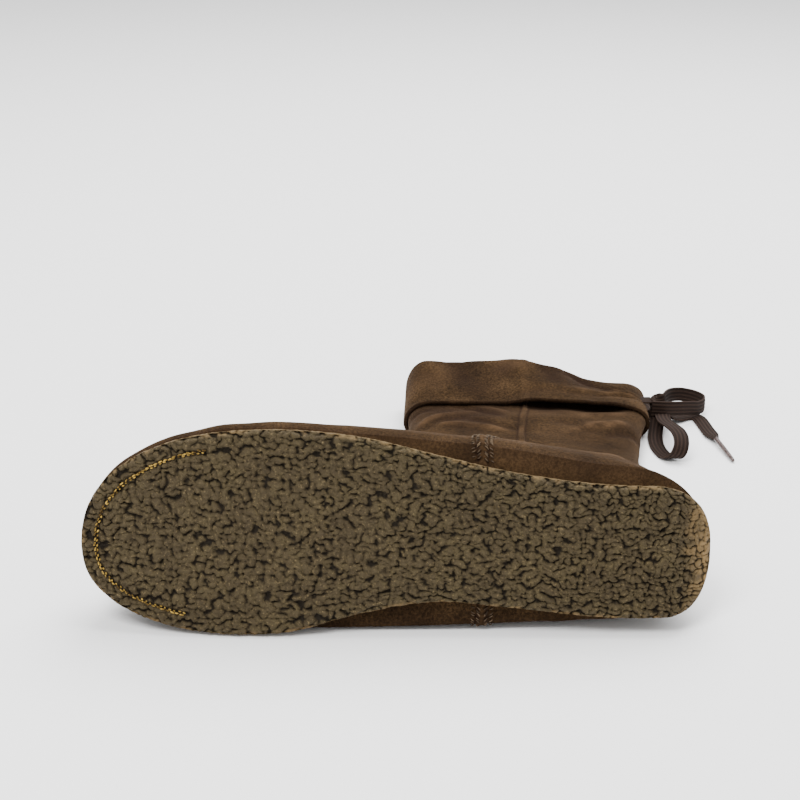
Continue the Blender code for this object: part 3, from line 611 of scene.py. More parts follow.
def make_thread(name, dark, light):
    """Twisted thread: a stripe that winds round the stitch, from the piece's UV map."""
    tree, shader = new_finish(name, 0.75, specular=0.15)
    place = object_place(tree)
    soil = noise_node(tree, place, 420.0, detail=3.0)
    twist = tree.nodes.new("ShaderNodeTexWave")
    twist.wave_type = "BANDS"
    twist.bands_direction = "DIAGONAL"
    twist.inputs["Scale"].default_value = 1.6
    tree.links.new(tree.nodes.new("ShaderNodeTexCoord").outputs["UV"], twist.inputs["Vector"])
    colour = ramp_node(tree, soil, [(0.40, dark), (0.62, light)])
    tree.links.new(colour, shader.inputs["Base Color"])
    tree.links.new(bump_node(tree, twist.outputs["Fac"], 0.6, 0.0002), shader.inputs["Normal"])


def make_lace_finish():
    """Flat braid: crossing yarns from two diagonal waves on the UV map, on top of the modelled ribs."""
    tree, shader = new_finish("lace_cotton", 0.80, specular=0.12)
    uv = tree.nodes.new("ShaderNodeTexCoord").outputs["UV"]
    weave = []
    for turn in (WEAVE_ANGLE, -WEAVE_ANGLE):
        mapping = tree.nodes.new("ShaderNodeMapping")
        mapping.inputs["Rotation"].default_value = (0.0, 0.0, math.radians(turn))
        tree.links.new(uv, mapping.inputs["Vector"])
        wave = tree.nodes.new("ShaderNodeTexWave")
        wave.inputs["Scale"].default_value = WEAVE_SCALE
        tree.links.new(mapping.outputs["Vector"], wave.inputs["Vector"])
        weave.append(wave.outputs["Fac"])
    yarn = math_node(tree, "MULTIPLY", weave[0], weave[1])
    parts = tree.nodes.new("ShaderNodeSeparateXYZ")
    tree.links.new(uv, parts.inputs[0])
    phase = math_node(tree, "MULTIPLY", parts.outputs[1], RIBS * 2 * math.pi / LACE_WIDTH)
    wave = math_node(tree, "COSINE", phase, 0.0)
    rib = range_node(tree, wave, -0.6, 0.9)
    colour = ramp_node(tree, yarn, YARN_STOPS)
    colour = mix_node(tree, math_node(tree, "MULTIPLY", rib, 0.55), colour, LACE_RIB)
    tree.links.new(colour, shader.inputs["Base Color"])
    normal = bump_node(tree, yarn, 0.5, 0.0003)
    tree.links.new(bump_node(tree, rib, 0.6, 0.0003, normal), shader.inputs["Normal"])


def make_aglet_finish():
    """Clear brown plastic, rubbed dull in places."""
    tree, shader = new_finish("aglet_plastic", 0.28, specular=0.6)
    place = object_place(tree)
    rubbed = noise_node(tree, place, 600.0, detail=4.0)
    colour = ramp_node(tree, rubbed, AGLET_STOPS)
    tree.links.new(colour, shader.inputs["Base Color"])
    tree.links.new(range_node(tree, rubbed, 0.3, 0.7, 0.18, 0.42), shader.inputs["Roughness"])


make_crepe()
make_felt()
make_thread("toe_thread", *TOE_THREAD)
make_thread("seam_thread", *SEAM_THREAD)
make_lace_finish()
make_aglet_finish()
print("finishes:", ", ".join(MATERIALS))

# %% [markdown]
# ## The bow
# A flat braided lace comes out of the cuff's fold, is tied in a bow and ends in two aglets. Each loop and
# each end is one stretch of the same lace. Its centreline is a smooth curve through listed points, and a
# flat section with lengthwise ribs is carried along it. The lace lies on the floor wherever nothing lifts
# it.

# %% Lace routes, from the knot's middle: behind, beyond and over the floor
UPPER_LOOP = (
    (-0.0045, -0.0058, 0.0112), (0.0027, -0.0062, 0.0110), (0.0107, -0.0030, 0.0098),
    (0.0177, 0.0020, 0.0080), (0.0232, 0.0065, 0.0064), (0.0273, 0.0120, 0.0062),
    (0.0277, 0.0185, 0.0062), (0.0237, 0.0245, 0.0063), (0.0167, 0.0260, 0.0072),
    (0.0103, 0.0215, 0.0086), (0.0064, 0.0140, 0.0102), (0.0036, 0.0066, 0.0112),
)
LOWER_LOOP = (
    (-0.0010, -0.0053, 0.0046), (-0.0030, -0.0140, 0.0016), (-0.0050, -0.0260, 0.0010),
    (-0.0054, -0.0380, 0.0010), (-0.0036, -0.0485, 0.0011), (-0.0006, -0.0545, 0.0022),
    (0.0022, -0.0572, 0.0052), (0.0038, -0.0566, 0.0092), (0.0042, -0.0525, 0.0124),
    (0.0034, -0.0460, 0.0136), (0.0018, -0.0370, 0.0128), (0.0004, -0.0260, 0.0106),
    (0.0004, -0.0160, 0.0090), (0.0012, -0.0074, 0.0077),
)
END_SEEN = (
    (0.0060, -0.0004, 0.0040), (0.0110, 0.0024, 0.0018), (0.0160, 0.0062, 0.0011),
    (0.0206, 0.0074, 0.0010), (0.0234, 0.0042, 0.0010), (0.0246, -0.0034, 0.0010),
    (0.0254, -0.0124, 0.0010), (0.0263, -0.0224, 0.0017), (0.0270, -0.0308, 0.0030),
)
TIP_SEEN = (0.0316, -0.0573, 0.0014)
END_HIDDEN = (
    (-0.0008, 0.0050, 0.0054), (-0.0010, 0.0120, 0.0022), (-0.0022, 0.0220, 0.0011),
    (-0.0065, 0.0310, 0.0010), (-0.0140, 0.0385, 0.0010), (-0.0225, 0.0435, 0.0010),
    (-0.0290, 0.0465, 0.0016),
)
TIP_HIDDEN = (-0.0520, 0.0560, 0.0015)
LACE_TAPER = 0.010
TAPER_POWER = 0.8
AGLET_RADIUS = 0.0013
UPRIGHT = np.array([0.0, 0.0, 1.0])
ACROSS = np.array([1.0, 0.0, 0.0])
KNOT_LOW, KNOT_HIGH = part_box("lace_knot")
KNOT_MIDDLE = np.array([(KNOT_LOW[0] + KNOT_HIGH[0]) / 2, (KNOT_LOW[1] + KNOT_HIGH[1]) / 2, SHIFT[2] + FLOOR])
ROUTE_STEPS = 12
SECTION_POINTS = 44
FACE_POWER = 0.40
SIDE_POWER = 0.55
RIB_DEPTH = 0.16


def smooth_route(points, steps=ROUTE_STEPS):
    """A smooth curve through a route's points, read off at even steps between each pair."""
    points = np.asarray(points, float)
    at = np.linspace(0, len(points) - 1, (len(points) - 1) * steps + 1)
    slopes = np.gradient(points, axis=0)
    left = np.minimum(at.astype(int), len(points) - 2)
    t = (at - left)[:, None]
    rise = t * t * (3 - 2 * t)
    bend = t * (1 - t) * (slopes[left] * (1 - t) - slopes[left + 1] * t)
    return points[left] * (1 - rise) + points[left + 1] * rise + bend


def lace_surface(path, across, width, thickness=LACE_THICKNESS):
    """A flat braid carried along a path: a rounded bar's outline, its faces waved into lengthwise ribs.

    Sideways it is cos^SIDE_POWER width / 2. Upward it is sin^FACE_POWER thickness / 2, lowered by up to
    2 RIB_DEPTH between the ribs.
    """
    heading = np.gradient(path, axis=0)
    heading /= np.linalg.norm(heading, axis=1, keepdims=True)
    across = across - heading * np.sum(heading * across, axis=1, keepdims=True)
    across /= np.linalg.norm(across, axis=1, keepdims=True)
    normal = np.cross(heading, across)
    turn = np.linspace(0, 2 * np.pi, SECTION_POINTS, endpoint=False)
    sideways = np.sign(np.cos(turn)) * np.abs(np.cos(turn)) ** SIDE_POWER
    upward = np.sign(np.sin(turn)) * np.abs(np.sin(turn)) ** FACE_POWER
    ribs = 1 - RIB_DEPTH + RIB_DEPTH * np.cos(sideways * np.pi * RIBS)
    width = np.broadcast_to(np.asarray(width, float), (len(path),))[:, None]
    out = across[:, None, :] * (sideways[None, :] * width / 2)[..., None]
    up = normal[:, None, :] * (upward * ribs * thickness / 2)[None, :, None]
    grid = path[:, None, :] + out + up
    run = np.append(0.0, np.cumsum(np.linalg.norm(np.diff(path, axis=0), axis=1)))
    uv = np.stack(np.broadcast_arrays(run[:, None], (sideways * width.max() / 2)[None, :]), axis=-1)
    return grid, uv.reshape(-1, 2), run[-1]


def closed_tube(name, grid, uv, finish, masks=None):
    """A tube from rings, capped by one fan at each end."""
    rows, columns = grid.shape[:2]
    item_points = np.vstack([grid.reshape(-1, 3), grid[0].mean(axis=0), grid[-1].mean(axis=0)])
    index = np.arange(rows * columns).reshape(rows, columns)
    after = np.roll(index, -1, axis=1)
    first = np.stack([index[:-1], after[:-1], after[1:]], axis=-1).reshape(-1, 3)
    second = np.stack([index[:-1], after[1:], index[1:]], axis=-1).reshape(-1, 3)
    low = np.stack([after[0], index[0], np.full(columns, rows * columns)], axis=-1)
    high = np.stack([index[-1], after[-1], np.full(columns, rows * columns + 1)], axis=-1)
    uv = np.vstack([uv, uv[:1], uv[-1:]])
    faces = np.vstack([first, second, low, high])
    corners = (item_points - item_points.mean(axis=0))[faces]
    volume = np.sum(corners[:, 0] * np.cross(corners[:, 1], corners[:, 2]))
    faces = faces if volume > 0 else faces[:, ::-1]
    return piece_from_faces(name, item_points, faces, finish, uv, masks)


def lace_stretch(name, route, across, taper=False):
    """One loop or end of the bow: its piece, its centreline and its length."""
    path = smooth_route(route) + KNOT_MIDDLE
    if across is None:
        heading = np.gradient(path, axis=0)
        across = np.column_stack([-heading[:, 1], heading[:, 0], np.zeros(len(path))])
        across /= np.linalg.norm(across, axis=1, keepdims=True)
    width = LACE_WIDTH
    if taper:
        left = np.append(np.linalg.norm(np.diff(path, axis=0), axis=1)[::-1].cumsum()[::-1], 0.0)
        share = np.clip(left / LACE_TAPER, 0.0, 1.0) ** TAPER_POWER
        width = 2 * AGLET_RADIUS + (LACE_WIDTH - 2 * AGLET_RADIUS) * share
    grid, uv, length = lace_surface(path, across, width)
    piece = closed_tube(name, grid, uv, "lace_cotton")
    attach(piece, "root")
    return piece, path, length


# %% [markdown]
# The knot is a tight bunch of the same flat lace. Tying it for real would need a simulation, so it is an
# egg whose radius swells along winding bands, with a fine ripple for the braid. Its poles are closed by
# small fans.

# %% Knot
KNOT_TURNS = 2.6
KNOT_ROWS = 72
KNOT_COLUMNS = 96
KNOT_POLE = 0.02
KNOT_BODY = 0.92
KNOT_SWELL = 0.13
KNOT_EDGE = 2.5
KNOT_RIPPLE = 0.014


def make_knot():
    """The knot: an egg whose radius swells along winding bands, as turns of flat lace pulled tight."""
    turn = np.linspace(0, 2 * np.pi, KNOT_COLUMNS, endpoint=False)[None, :]
    rise = np.linspace(KNOT_POLE, np.pi - KNOT_POLE, KNOT_ROWS)[:, None]
    band = np.sin(KNOT_TURNS * rise * 2 + turn)
    ribs = np.cos(14 * rise + 3 * turn)
    swell = KNOT_BODY + KNOT_SWELL * np.tanh(KNOT_EDGE * band) + KNOT_RIPPLE * ribs
    size = np.array([KNOT_LENGTH, KNOT_DEPTH, KNOT_HEIGHT]) / 2
    axes = (np.sin(rise) * np.cos(turn), np.sin(rise) * np.sin(turn), -np.cos(rise))
    unit = np.stack(np.broadcast_arrays(*axes), -1)
    middle = KNOT_MIDDLE + np.array([0.0, 0.0, LACE_THICKNESS + KNOT_HEIGHT / 2])
    grid = middle + unit * size * swell[..., None]
    uv = np.stack(np.broadcast_arrays(turn * KNOT_LENGTH / 2, rise * KNOT_HEIGHT / 2), -1).reshape(-1, 2)
    knot = closed_tube("bow_knot", grid, uv, "lace_cotton")
    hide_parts("lace_knot")
    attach(knot, "root")
    return knot


# %% [markdown]
# An aglet is a plastic tube shrunk onto the lace's end, so that it can be threaded. It is a round section
# carried along a straight line. Its radius shrinks towards the tip, and is pinched near the lace where it
# was crimped.

# %% Aglets
AGLET_ROWS = 24
AGLET_SIDES = 20
AGLET_BODY = 0.98
AGLET_NARROWS = 0.30
AGLET_PINCH = 0.10
AGLET_PINCHED_AT = 0.16
AGLET_LIP_AT = 0.03
AGLET_MARK = 0.03
AGLET_TIP_FROM = 0.97
AGLET_TIP = 0.7


def make_aglet(name, node, last, tip):
    """A plastic tube shrunk on the lace: a round section with a lip, a pinch and a narrower tip."""
    start = np.asarray(last) + KNOT_MIDDLE
    end = np.asarray(tip) + KNOT_MIDDLE
    share = np.linspace(0, 1, AGLET_ROWS)
    heading = (end - start) / np.linalg.norm(end - start)
    across = np.cross(heading, UPRIGHT)
    across /= np.linalg.norm(across)
    above = np.cross(across, heading)
    radius = AGLET_RADIUS * (AGLET_BODY - AGLET_NARROWS * share**3)
    radius = radius * (1 - AGLET_PINCH * bell(share, AGLET_PINCHED_AT, AGLET_MARK))
    radius = radius * (1 + AGLET_PINCH * bell(share, AGLET_LIP_AT, AGLET_MARK))
    radius = np.where(share > AGLET_TIP_FROM, radius * AGLET_TIP, radius)
    turn = np.linspace(0, 2 * np.pi, AGLET_SIDES, endpoint=False)
    ring = np.cos(turn)[:, None] * across + np.sin(turn)[:, None] * above
    grid = start + (end - start) * share[:, None, None] + ring[None] * radius[:, None, None]
    uv = np.stack(np.broadcast_arrays(share[:, None], (turn / (2 * np.pi))[None, :]), -1).reshape(-1, 2)
    aglet = closed_tube(name, grid, uv, "aglet_plastic")
    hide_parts(node)
    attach(aglet, "root")
    return aglet


# %% [markdown]
# Two loops and two ends leave the knot. Each is a piece of its own, and its length is printed. A loop
# stands on edge or lies flat, by which way its width points. The ends lie flat and narrow into their
# aglets.

# %% Tie the bow
def tie_bow():
    """The knot, both loops, both ends and their aglets."""
    knot = make_knot()
    loops = (
        ("bow_loop_upper", "lace_loop_upper", UPPER_LOOP, UPRIGHT),
        ("bow_loop_lower", "lace_loop_lower", LOWER_LOOP, ACROSS),
    )
    for name, node, route, across in loops:
        piece, path, length = lace_stretch(name, route, across)
        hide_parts(node)
        print(name, round(length * 1000), "mm")
    ends = (
        ("bow_end_seen", "lace_end_a", END_SEEN, "aglet_seen", "aglet_a", TIP_SEEN),
        ("bow_end_hidden", "lace_end_b", END_HIDDEN, "aglet_hidden", "aglet_b", TIP_HIDDEN),
    )
    for name, node, route, aglet_name, aglet_node, tip in ends:
        piece, path, length = lace_stretch(name, route, None, taper=True)
        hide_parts(node)
        aglet = make_aglet(aglet_name, aglet_node, route[-1], tip)
        print(name, round(length * 1000), "mm")


tie_bow()

# %% [markdown]
# ## The crepe sole
# The tread is one sheet cut to the sole's outline. Crepe is lumpy, and its lumps merge, with creases
# between them and deep pits here and there. Each of many jittered centres carries a dome of its own
# radius, and the highest dome at a point is the surface. A bump in the shader would be cheaper, but would
# leave the sole's outline flat.

# %% Crepe lumps
LUMP_PITCH_TOE = 0.0031
LUMP_PITCH_HEEL = 0.0026
LUMP_RELIEF = 0.0019
LUMP_STRETCH = 1.15
WARP_BROAD = (0.0052, 0.0030)
WARP_FINE = (0.0017, 0.0019)
CENTRE_JITTER = (0.20, 0.60)
DOME_RADIUS = (0.52, 0.18)
DOME_POWER = 1.5
DOME_SCALE = 1.315
DOME_FLOOR = -0.2
CREASE_REACH = 0.34
CREASE_SHARE = 0.22
CREPE_CREASE_SHADE = 0.74
PIT_FROM = 0.76
PIT_SLOPE = 1.25
CRUMB_PITCH = 0.0012
CRUMB_SHARE = 0.16


def jittered_dome(x, y, home_x, home_y):
    """The dome of one cell: 1 - distance^2 / radius^2, with its centre and radius set by the cell's hash."""
    least, spread = CENTRE_JITTER
    centre_x = home_x + least + spread * hash_noise(home_x, home_y, 1.0)
    centre_y = home_y + least + spread * hash_noise(home_x, home_y, 2.0)
    radius = DOME_RADIUS[0] + DOME_RADIUS[1] * hash_noise(home_x, home_y, 4.0)
    return 1 - ((x - centre_x) ** 2 + (y - centre_y) ** 2) / radius**2


def crepe_relief(along, side):
    """How high the crepe stands, near 1 on a lump and 0 in a pit, and a field of painted shade that is large
    in the gaps.

    The highest dome counts. Where two are nearly as high there is a crease, and where none reaches, a pit.
    """
    pitch = LUMP_PITCH_HEEL + (LUMP_PITCH_TOE - LUMP_PITCH_HEEL) * along / FOOT_LENGTH
    bend_x = soft_push(along, side, WARP_BROAD, 3.0) + soft_push(along, side, WARP_FINE, 13.0)
    bend_y = soft_push(along, side, WARP_BROAD, 5.0) + soft_push(along, side, WARP_FINE, 15.0)
    x = (along + bend_x) / pitch
    y = (side + bend_y) / pitch * LUMP_STRETCH
    best = np.full(x.shape, -9.0)
    second = np.full(x.shape, -9.0)
    for step_x in (-1, 0, 1):
        for step_y in (-1, 0, 1):
            rise = jittered_dome(x, y, np.floor(x) + step_x, np.floor(y) + step_y)
            second = np.maximum(second, np.minimum(best, rise))
            best = np.maximum(best, rise)
    crease = np.clip(1 - (best - second) / CREASE_REACH, 0, 1)
    crease = crease * step_up(value_noise(x * 1.3, y * 1.3, 8.0), 0.05, 0.60)
    crumb = noise_of_pitch(along, side, CRUMB_PITCH, 17.0)
    height = 1 - (1 - np.clip(best, DOME_FLOOR, 1.0)) ** DOME_POWER / DOME_SCALE
    pit = np.clip(PIT_FROM - PIT_SLOPE * best, 0, 1)
    return height - CREASE_SHARE * crease - CRUMB_SHARE * crumb, np.maximum(pit, CREPE_CREASE_SHADE * crease)


# %% [markdown]
# The sheet is sewn to the upper round the toe, in a groove a few millimetres from the edge. The heel is
# rubbed smoother and paler where it rolls. The sheet is one closed skin: columns across the tread, up its
# raw edge, back across the top and down the other edge, with a row for every half millimetre of its
# length.

# %% Outsole
SOLE_LONG = 530
SOLE_WIDE = 176
SOLE_EVEN_ROWS = 0.65
SOLE_EVEN_COLUMNS = 0.70
SOLE_END = 0.00003
END_GAP_SHARE = 0.7
STITCH_INSET = 0.0066
STITCH_FROM = (0.812, 0.846)
STITCH_LINE_POINTS = 400
GROOVE_WIDTH = 0.0011
GROOVE_DEPTH = 0.0009
GROOVE_SHADE = 0.95
EDGE_FADE = 0.0009
EDGE_WAVES = (0.0021, 0.0007)
EDGE_WORN = 0.45
HEEL_WEAR = (0.004, 0.018)
HEEL_WEAR_PITCH = 0.004
HEEL_WEAR_RAGGED = 0.006
HEEL_SMOOTHER = 0.45
HEEL_SHALLOWER = 0.35
WORN_CRUMB_PITCH = 0.003
RAW_LEVELS = (0.35, 0.75, 1.0)
RAW_BULGE = 0.0003
RAW_GRIT_PITCH = 0.0013
RAW_GRIT = 0.0004
RAW_TOP_DROP = 0.0002
RAW_EDGE_SHADE = 0.15
RAW_WORN = 0.28
INNER_SHARES = (0.75, 0.5, 0.25)


def stitch_line(count, inset=STITCH_INSET):
    """The stitched line: the outline drawn in, from the lateral side round the toe to the medial side."""
    reach = np.sin(np.linspace(0, 1, count // 2) * np.pi / 2)
    along, lateral, _ = outline_sides(STITCH_FROM[0] + (1 - STITCH_FROM[0]) * reach, inset)
    out = np.column_stack([along, lateral])
    along, _, medial = outline_sides(STITCH_FROM[1] + (1 - STITCH_FROM[1]) * reach, inset)
    home = np.column_stack([along, medial])[-2::-1]
    return np.vstack([out, home])


def distance_to_line(along, side, line):
    """The distance from each point to the nearest point of a finely drawn line, where it can be near."""
    best = np.full(along.shape, 1.0)
    near = along > line[:, 0].min() - 0.01
    gaps = np.hypot(along[near][:, None] - line[None, :, 0], side[near][:, None] - line[None, :, 1])
    best[near] = gaps.min(axis=1)
    return best


def closer_at_ends(count, even):
    """Shares from 0 to 1 that crowd towards both ends: even t + (1 - even) (1 - cos(pi t)) / 2."""
    share = np.linspace(0, 1, count)
    return (1 - even) * (1 - np.cos(np.pi * share)) / 2 + even * share


def tread_surface(along, lateral, medial):
    """The tread from edge to edge, with the gap values of painted shade in cracks, pits and the groove, and
    the wear values that colour it.
    """
    spread = closer_at_ends(SOLE_WIDE, SOLE_EVEN_COLUMNS)[None, :]
    side = medial + (lateral - medial) * spread
    along = np.broadcast_to(along, side.shape)
    end_gap = np.minimum(along, FOOT_LENGTH - along) * END_GAP_SHARE
    edge_gap = np.minimum(np.minimum(side - medial, lateral - side), end_gap)
    relief, crack_shade = crepe_relief(along, side)
    groove = bell(distance_to_line(along, side, stitch_line(STITCH_LINE_POINTS)), 0.0, GROOVE_WIDTH)
    flat = bell(edge_gap, 0.0, EDGE_FADE)
    ragged_heel = HEEL_WEAR_RAGGED * noise_of_pitch(along, side, HEEL_WEAR_PITCH, 23.0)
    worn_heel = 1 - step_up(along + ragged_heel, *HEEL_WEAR)
    lumps = LUMP_RELIEF * (1 - relief) * (1 - HEEL_SMOOTHER * worn_heel)
    height = lumps + GROOVE_DEPTH * groove + SOLE_EDGE_BEVEL * flat
    side = side + soft_push(along, side, EDGE_WAVES, 11.0) * flat * np.sign(spread - 0.5)
    crumbs = noise_of_pitch(along, side, WORN_CRUMB_PITCH, 21.0)
    wear_and_painted_light = worn_heel * (0.12 + 0.78 * crumbs) * np.clip(0.3 + relief, 0, 1)
    wear_and_painted_light = np.maximum(wear_and_painted_light, EDGE_WORN * flat * step_up(crumbs, 0.45, 0.8))
    # gap is painted shade: dark in the cracks, pits and the stitch groove, less on the worn heel
    gap = np.maximum(crack_shade * (1 - HEEL_SHALLOWER * worn_heel), GROOVE_SHADE * groove)
    return laid_down(along, side, bed_height(along) + np.maximum(height, 0.0)), gap, wear_and_painted_light


def rest_of_sheet(along, lateral, medial):
    """The columns after the tread: the lateral raw edge, the top, and the medial raw edge."""
    right = []
    left = []
    for level in RAW_LEVELS:
        high = bed_height(along) + SOLE_THICKNESS * level - (RAW_TOP_DROP if level == 1.0 else 0.0)
        grit = value_noise(along / RAW_GRIT_PITCH, np.full(along.shape, level * 9), 31.0) - 0.5
        out = RAW_BULGE * math.sin(math.pi * level) + grit * RAW_GRIT
        right.append(laid_down(along, lateral + out, high))
        left.insert(0, laid_down(along, medial - out, high))
    top_high = bed_height(along) + SOLE_THICKNESS
    inner = [laid_down(along, medial + (lateral - medial) * at, top_high) for at in INNER_SHARES]
    return [*right, *inner, *left]


def make_outsole():
    """The sheet, all one closed skin, with its values for the colour."""
    share = np.clip(closer_at_ends(SOLE_LONG, SOLE_EVEN_ROWS)[:, None], SOLE_END, 1 - SOLE_END)
    edges = outline_sides(share, 0.0)
    tread, gap, wear_and_painted_light = tread_surface(*edges)
    grid = np.concatenate([tread, *rest_of_sheet(*edges)], axis=1)
    extra = ((0, 0), (0, grid.shape[1] - SOLE_WIDE))
    masks = {
        "gap": np.pad(gap, extra, constant_values=RAW_EDGE_SHADE),
        "wear_and_painted_light": np.pad(wear_and_painted_light, extra, constant_values=RAW_WORN),
    }
    sole = piece_from_grid("crepe_outsole", grid, "crepe_rubber", capped=True, masks=masks)
    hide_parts("outsole")
    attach(sole, "root")
    return sole


OUTSOLE = make_outsole()
print("outsole faces", len(OUTSOLE.data.polygons))

# %% [markdown]
# ## The suede upper
# The upper is a stack of rings from the turned-in margin, over the foot, to the shaft's rim. Each ring
# goes out along the lateral side and home along the medial one. The side seam is a raised strip, with
# extra columns so that it stays crisp. The creases are soft troughs along listed lines, in the boot's
# own lengths.

# %% Rings
HEEL_COLUMNS = 46
TOE_COLUMNS = 62
STRIP_SIDE = np.array([0.6, 1.0, 1.35, 1.9, 2.3, 2.7, 3.1, 3.6]) * SEAM_WIDTH / 2
STRIP_OFFSETS = np.concatenate([-STRIP_SIDE[::-1], [0.0], STRIP_SIDE])


def ring_sizes():
    """The ring table in metres, one array for each column."""
    ring = {name: RINGS[:, i].copy() for i, name in enumerate(RING_COLUMNS)}
    reach = (1 - ring["slack"]) * FOOT_LENGTH + ring["slack"] * SHAFT_WIDTH
    rise = (1 - ring["slack"]) * INSTEP_HEIGHT + ring["slack"] * SHAFT_HEIGHT
    ring["back"] *= FOOT_LENGTH
    ring["front"] *= reach
    ring["rise_back"] *= rise
    ring["rise_front"] *= rise
    for name in ("thick_back", "thick_mid", "thick_front"):
        ring[name] *= SHAFT_SLACK
    return ring


RING = ring_sizes()


def rings_at(steps):
    """Every column of the table at many steps, each as one column of numbers."""
    return {name: smooth_between(steps, RING_STEPS, RING[name])[:, None] for name in RING_COLUMNS}


def steps_for_reach(away):
    """The steps along the table where the slack shaft is this far from the tread."""
    steps = np.linspace(RING_STEPS[-6], RING_STEPS[-1], 400)
    reached = SOLE_TOP + smooth_between(steps, RING_STEPS, RING["rise_back"])
    return np.interp(away, reached, steps)


def side_columns(ring):
    """Shares from the back end to the front end, and how far each is from the seam, in metres."""
    length = ring["front"] - ring["back"]
    half = STRIP_OFFSETS[-1] / length
    quarter = np.linspace(0, 1, HEEL_COLUMNS, endpoint=False)[None, :]
    heel = (ring["seam"] - half) * (1 - np.cos(quarter * np.pi / 2))
    strip = ring["seam"] + STRIP_OFFSETS[None, :] / length
    quarter = np.linspace(0, 1, TOE_COLUMNS, endpoint=False)[None, ::-1]
    toe = 1 - (1 - ring["seam"] - half) * (1 - np.cos(quarter * np.pi / 2))
    share = np.hstack([heel, strip, toe])
    return share, (share - ring["seam"]) * length


def seam_profile(from_seam):
    """A raised strip with soft shoulders: 1 on it and 0 beside it."""
    return 1 - step_up(np.abs(from_seam), SEAM_WIDTH * 0.42, SEAM_WIDTH * 0.66)


def across_stations(share, back, middle, front):
    """Three values, at the heel's, waist's and ball's stations, blended along the share."""
    weights = [smooth_between(share, WIDTH_STATIONS, unit) for unit in np.eye(3)]
    return back * weights[0] + middle * weights[1] + front * weights[2]


def softer_max(first, second, soft):
    """The larger of two values, with a rounded corner where they cross."""
    gap = first - second
    return (first + second + np.sqrt(gap * gap + soft * soft)) / 2


def slack_sides(ring, share, raised, along, away, flare=0.0):
    """How far the slack shaft's two sides are over the floor."""
    thick = across_stations(share, ring["thick_back"], ring["thick_mid"], ring["thick_front"])
    under = CUFF_STACK * step_up(away, 0.78 * HEM_REACH, 0.92 * HEM_REACH)
    middle = under + SHAFT_FOLD_SHARE * thick
    length = ring["front"] - ring["back"]
    from_back = along - ring["back"]
    from_front = ring["front"] - along
    back = rounded_end(from_back, ring["round_back"] * length)
    front = rounded_end(from_front, ring["round_out"] * length)
    back_under = rounded_end(from_back, SHAFT_FOLD_SHARE * ring["round_back"] * length)
    front_under = rounded_end(from_front, SHAFT_FOLD_SHARE * ring["round_in"] * length)
    dip = flare * step_up(share, 0.05, 0.15) * (1 - step_up(share, 0.45, 0.60))
    over = middle + (thick + under - middle + raised + dip) * back * front
    beneath = middle - (middle - under) * back_under * front_under
    return over, beneath


def foot_sides(ring, share, raised, along):
    """The foot's height and its lateral and medial sides, which follow the last and stop at the floor."""
    level = ring["rise_back"] + share * (ring["rise_front"] - ring["rise_back"])
    high = SOLE_TOP + level + ring["bed"] * bed_height(along)
    wide = across_stations(share, ring["wide_heel"], ring["wide_waist"], ring["wide_ball"])
    lateral_half, medial_half = half_widths(along, LAST_SIDES)
    length = ring["front"] - ring["back"]
    heel = rounded_end(along - ring["back"], ring["round_back"] * length)
    toe_out = rounded_end(ring["front"] - along, ring["round_out"] * length, LAST_TOE_POWER)
    toe_in = rounded_end(ring["front"] - along, ring["round_in"] * length)
    lateral = AXIS + (lateral_half * wide + raised) * heel * toe_out
    medial = AXIS - (medial_half * wide + raised) * heel * toe_in
    floor = (FLOOR + high * math.sin(LIE_TILT)) / math.cos(LIE_TILT)
    return high, lateral, softer_max(medial, floor, FLOOR_SOFTNESS)


def there_and_home(out, home):
    """One closed ring of columns: the lateral side out, and the medial side home without its two ends."""
    return np.concatenate([out, home[:, -2:0:-1]], axis=1)


def lateral_columns(count):
    """1 for the columns of the lateral side, which is seen, and 0 for the rest."""
    return (np.arange(count) < HEEL_COLUMNS + len(STRIP_OFFSETS) + TOE_COLUMNS)[None, :] * 1.0


def moved_out(along, over, offset):
    """A closed outline moved outward along its own normals."""
    run_along = np.roll(along, -1, axis=-1) - np.roll(along, 1, axis=-1)
    run_over = np.roll(over, -1, axis=-1) - np.roll(over, 1, axis=-1)
    size = np.maximum(np.hypot(run_along, run_over), 1e-9)
    return along - offset * run_over / size, over + offset * run_along / size


# %% [markdown]
# The margin is turned in under the foot, and three rows of it lie on the sole. Its flank rises straight
# from there to the foot's first ring. Where the shaft goes slack, standing rings and lying rings are
# blended row by row.

# %% Upper's base form
FOOT_ROWS = np.linspace(0.0, 6.0, 52, endpoint=False)
TURN_ROWS = np.linspace(6.0, 11.0, 44, endpoint=False)
SHAFT_ROWS = 52
FLANK_ROWS = 14
FEATHER_EDGE = FEATHER_INSET + 0.0006
MARGIN_ROWS = ((MARGIN_WIDTH, 0.0), (FEATHER_INSET + FEATHER_RADIUS, 0.0), (FEATHER_EDGE, 0.0004))
MARGIN_STEP = -1.0
FAR_FROM_SEAM = 0.05


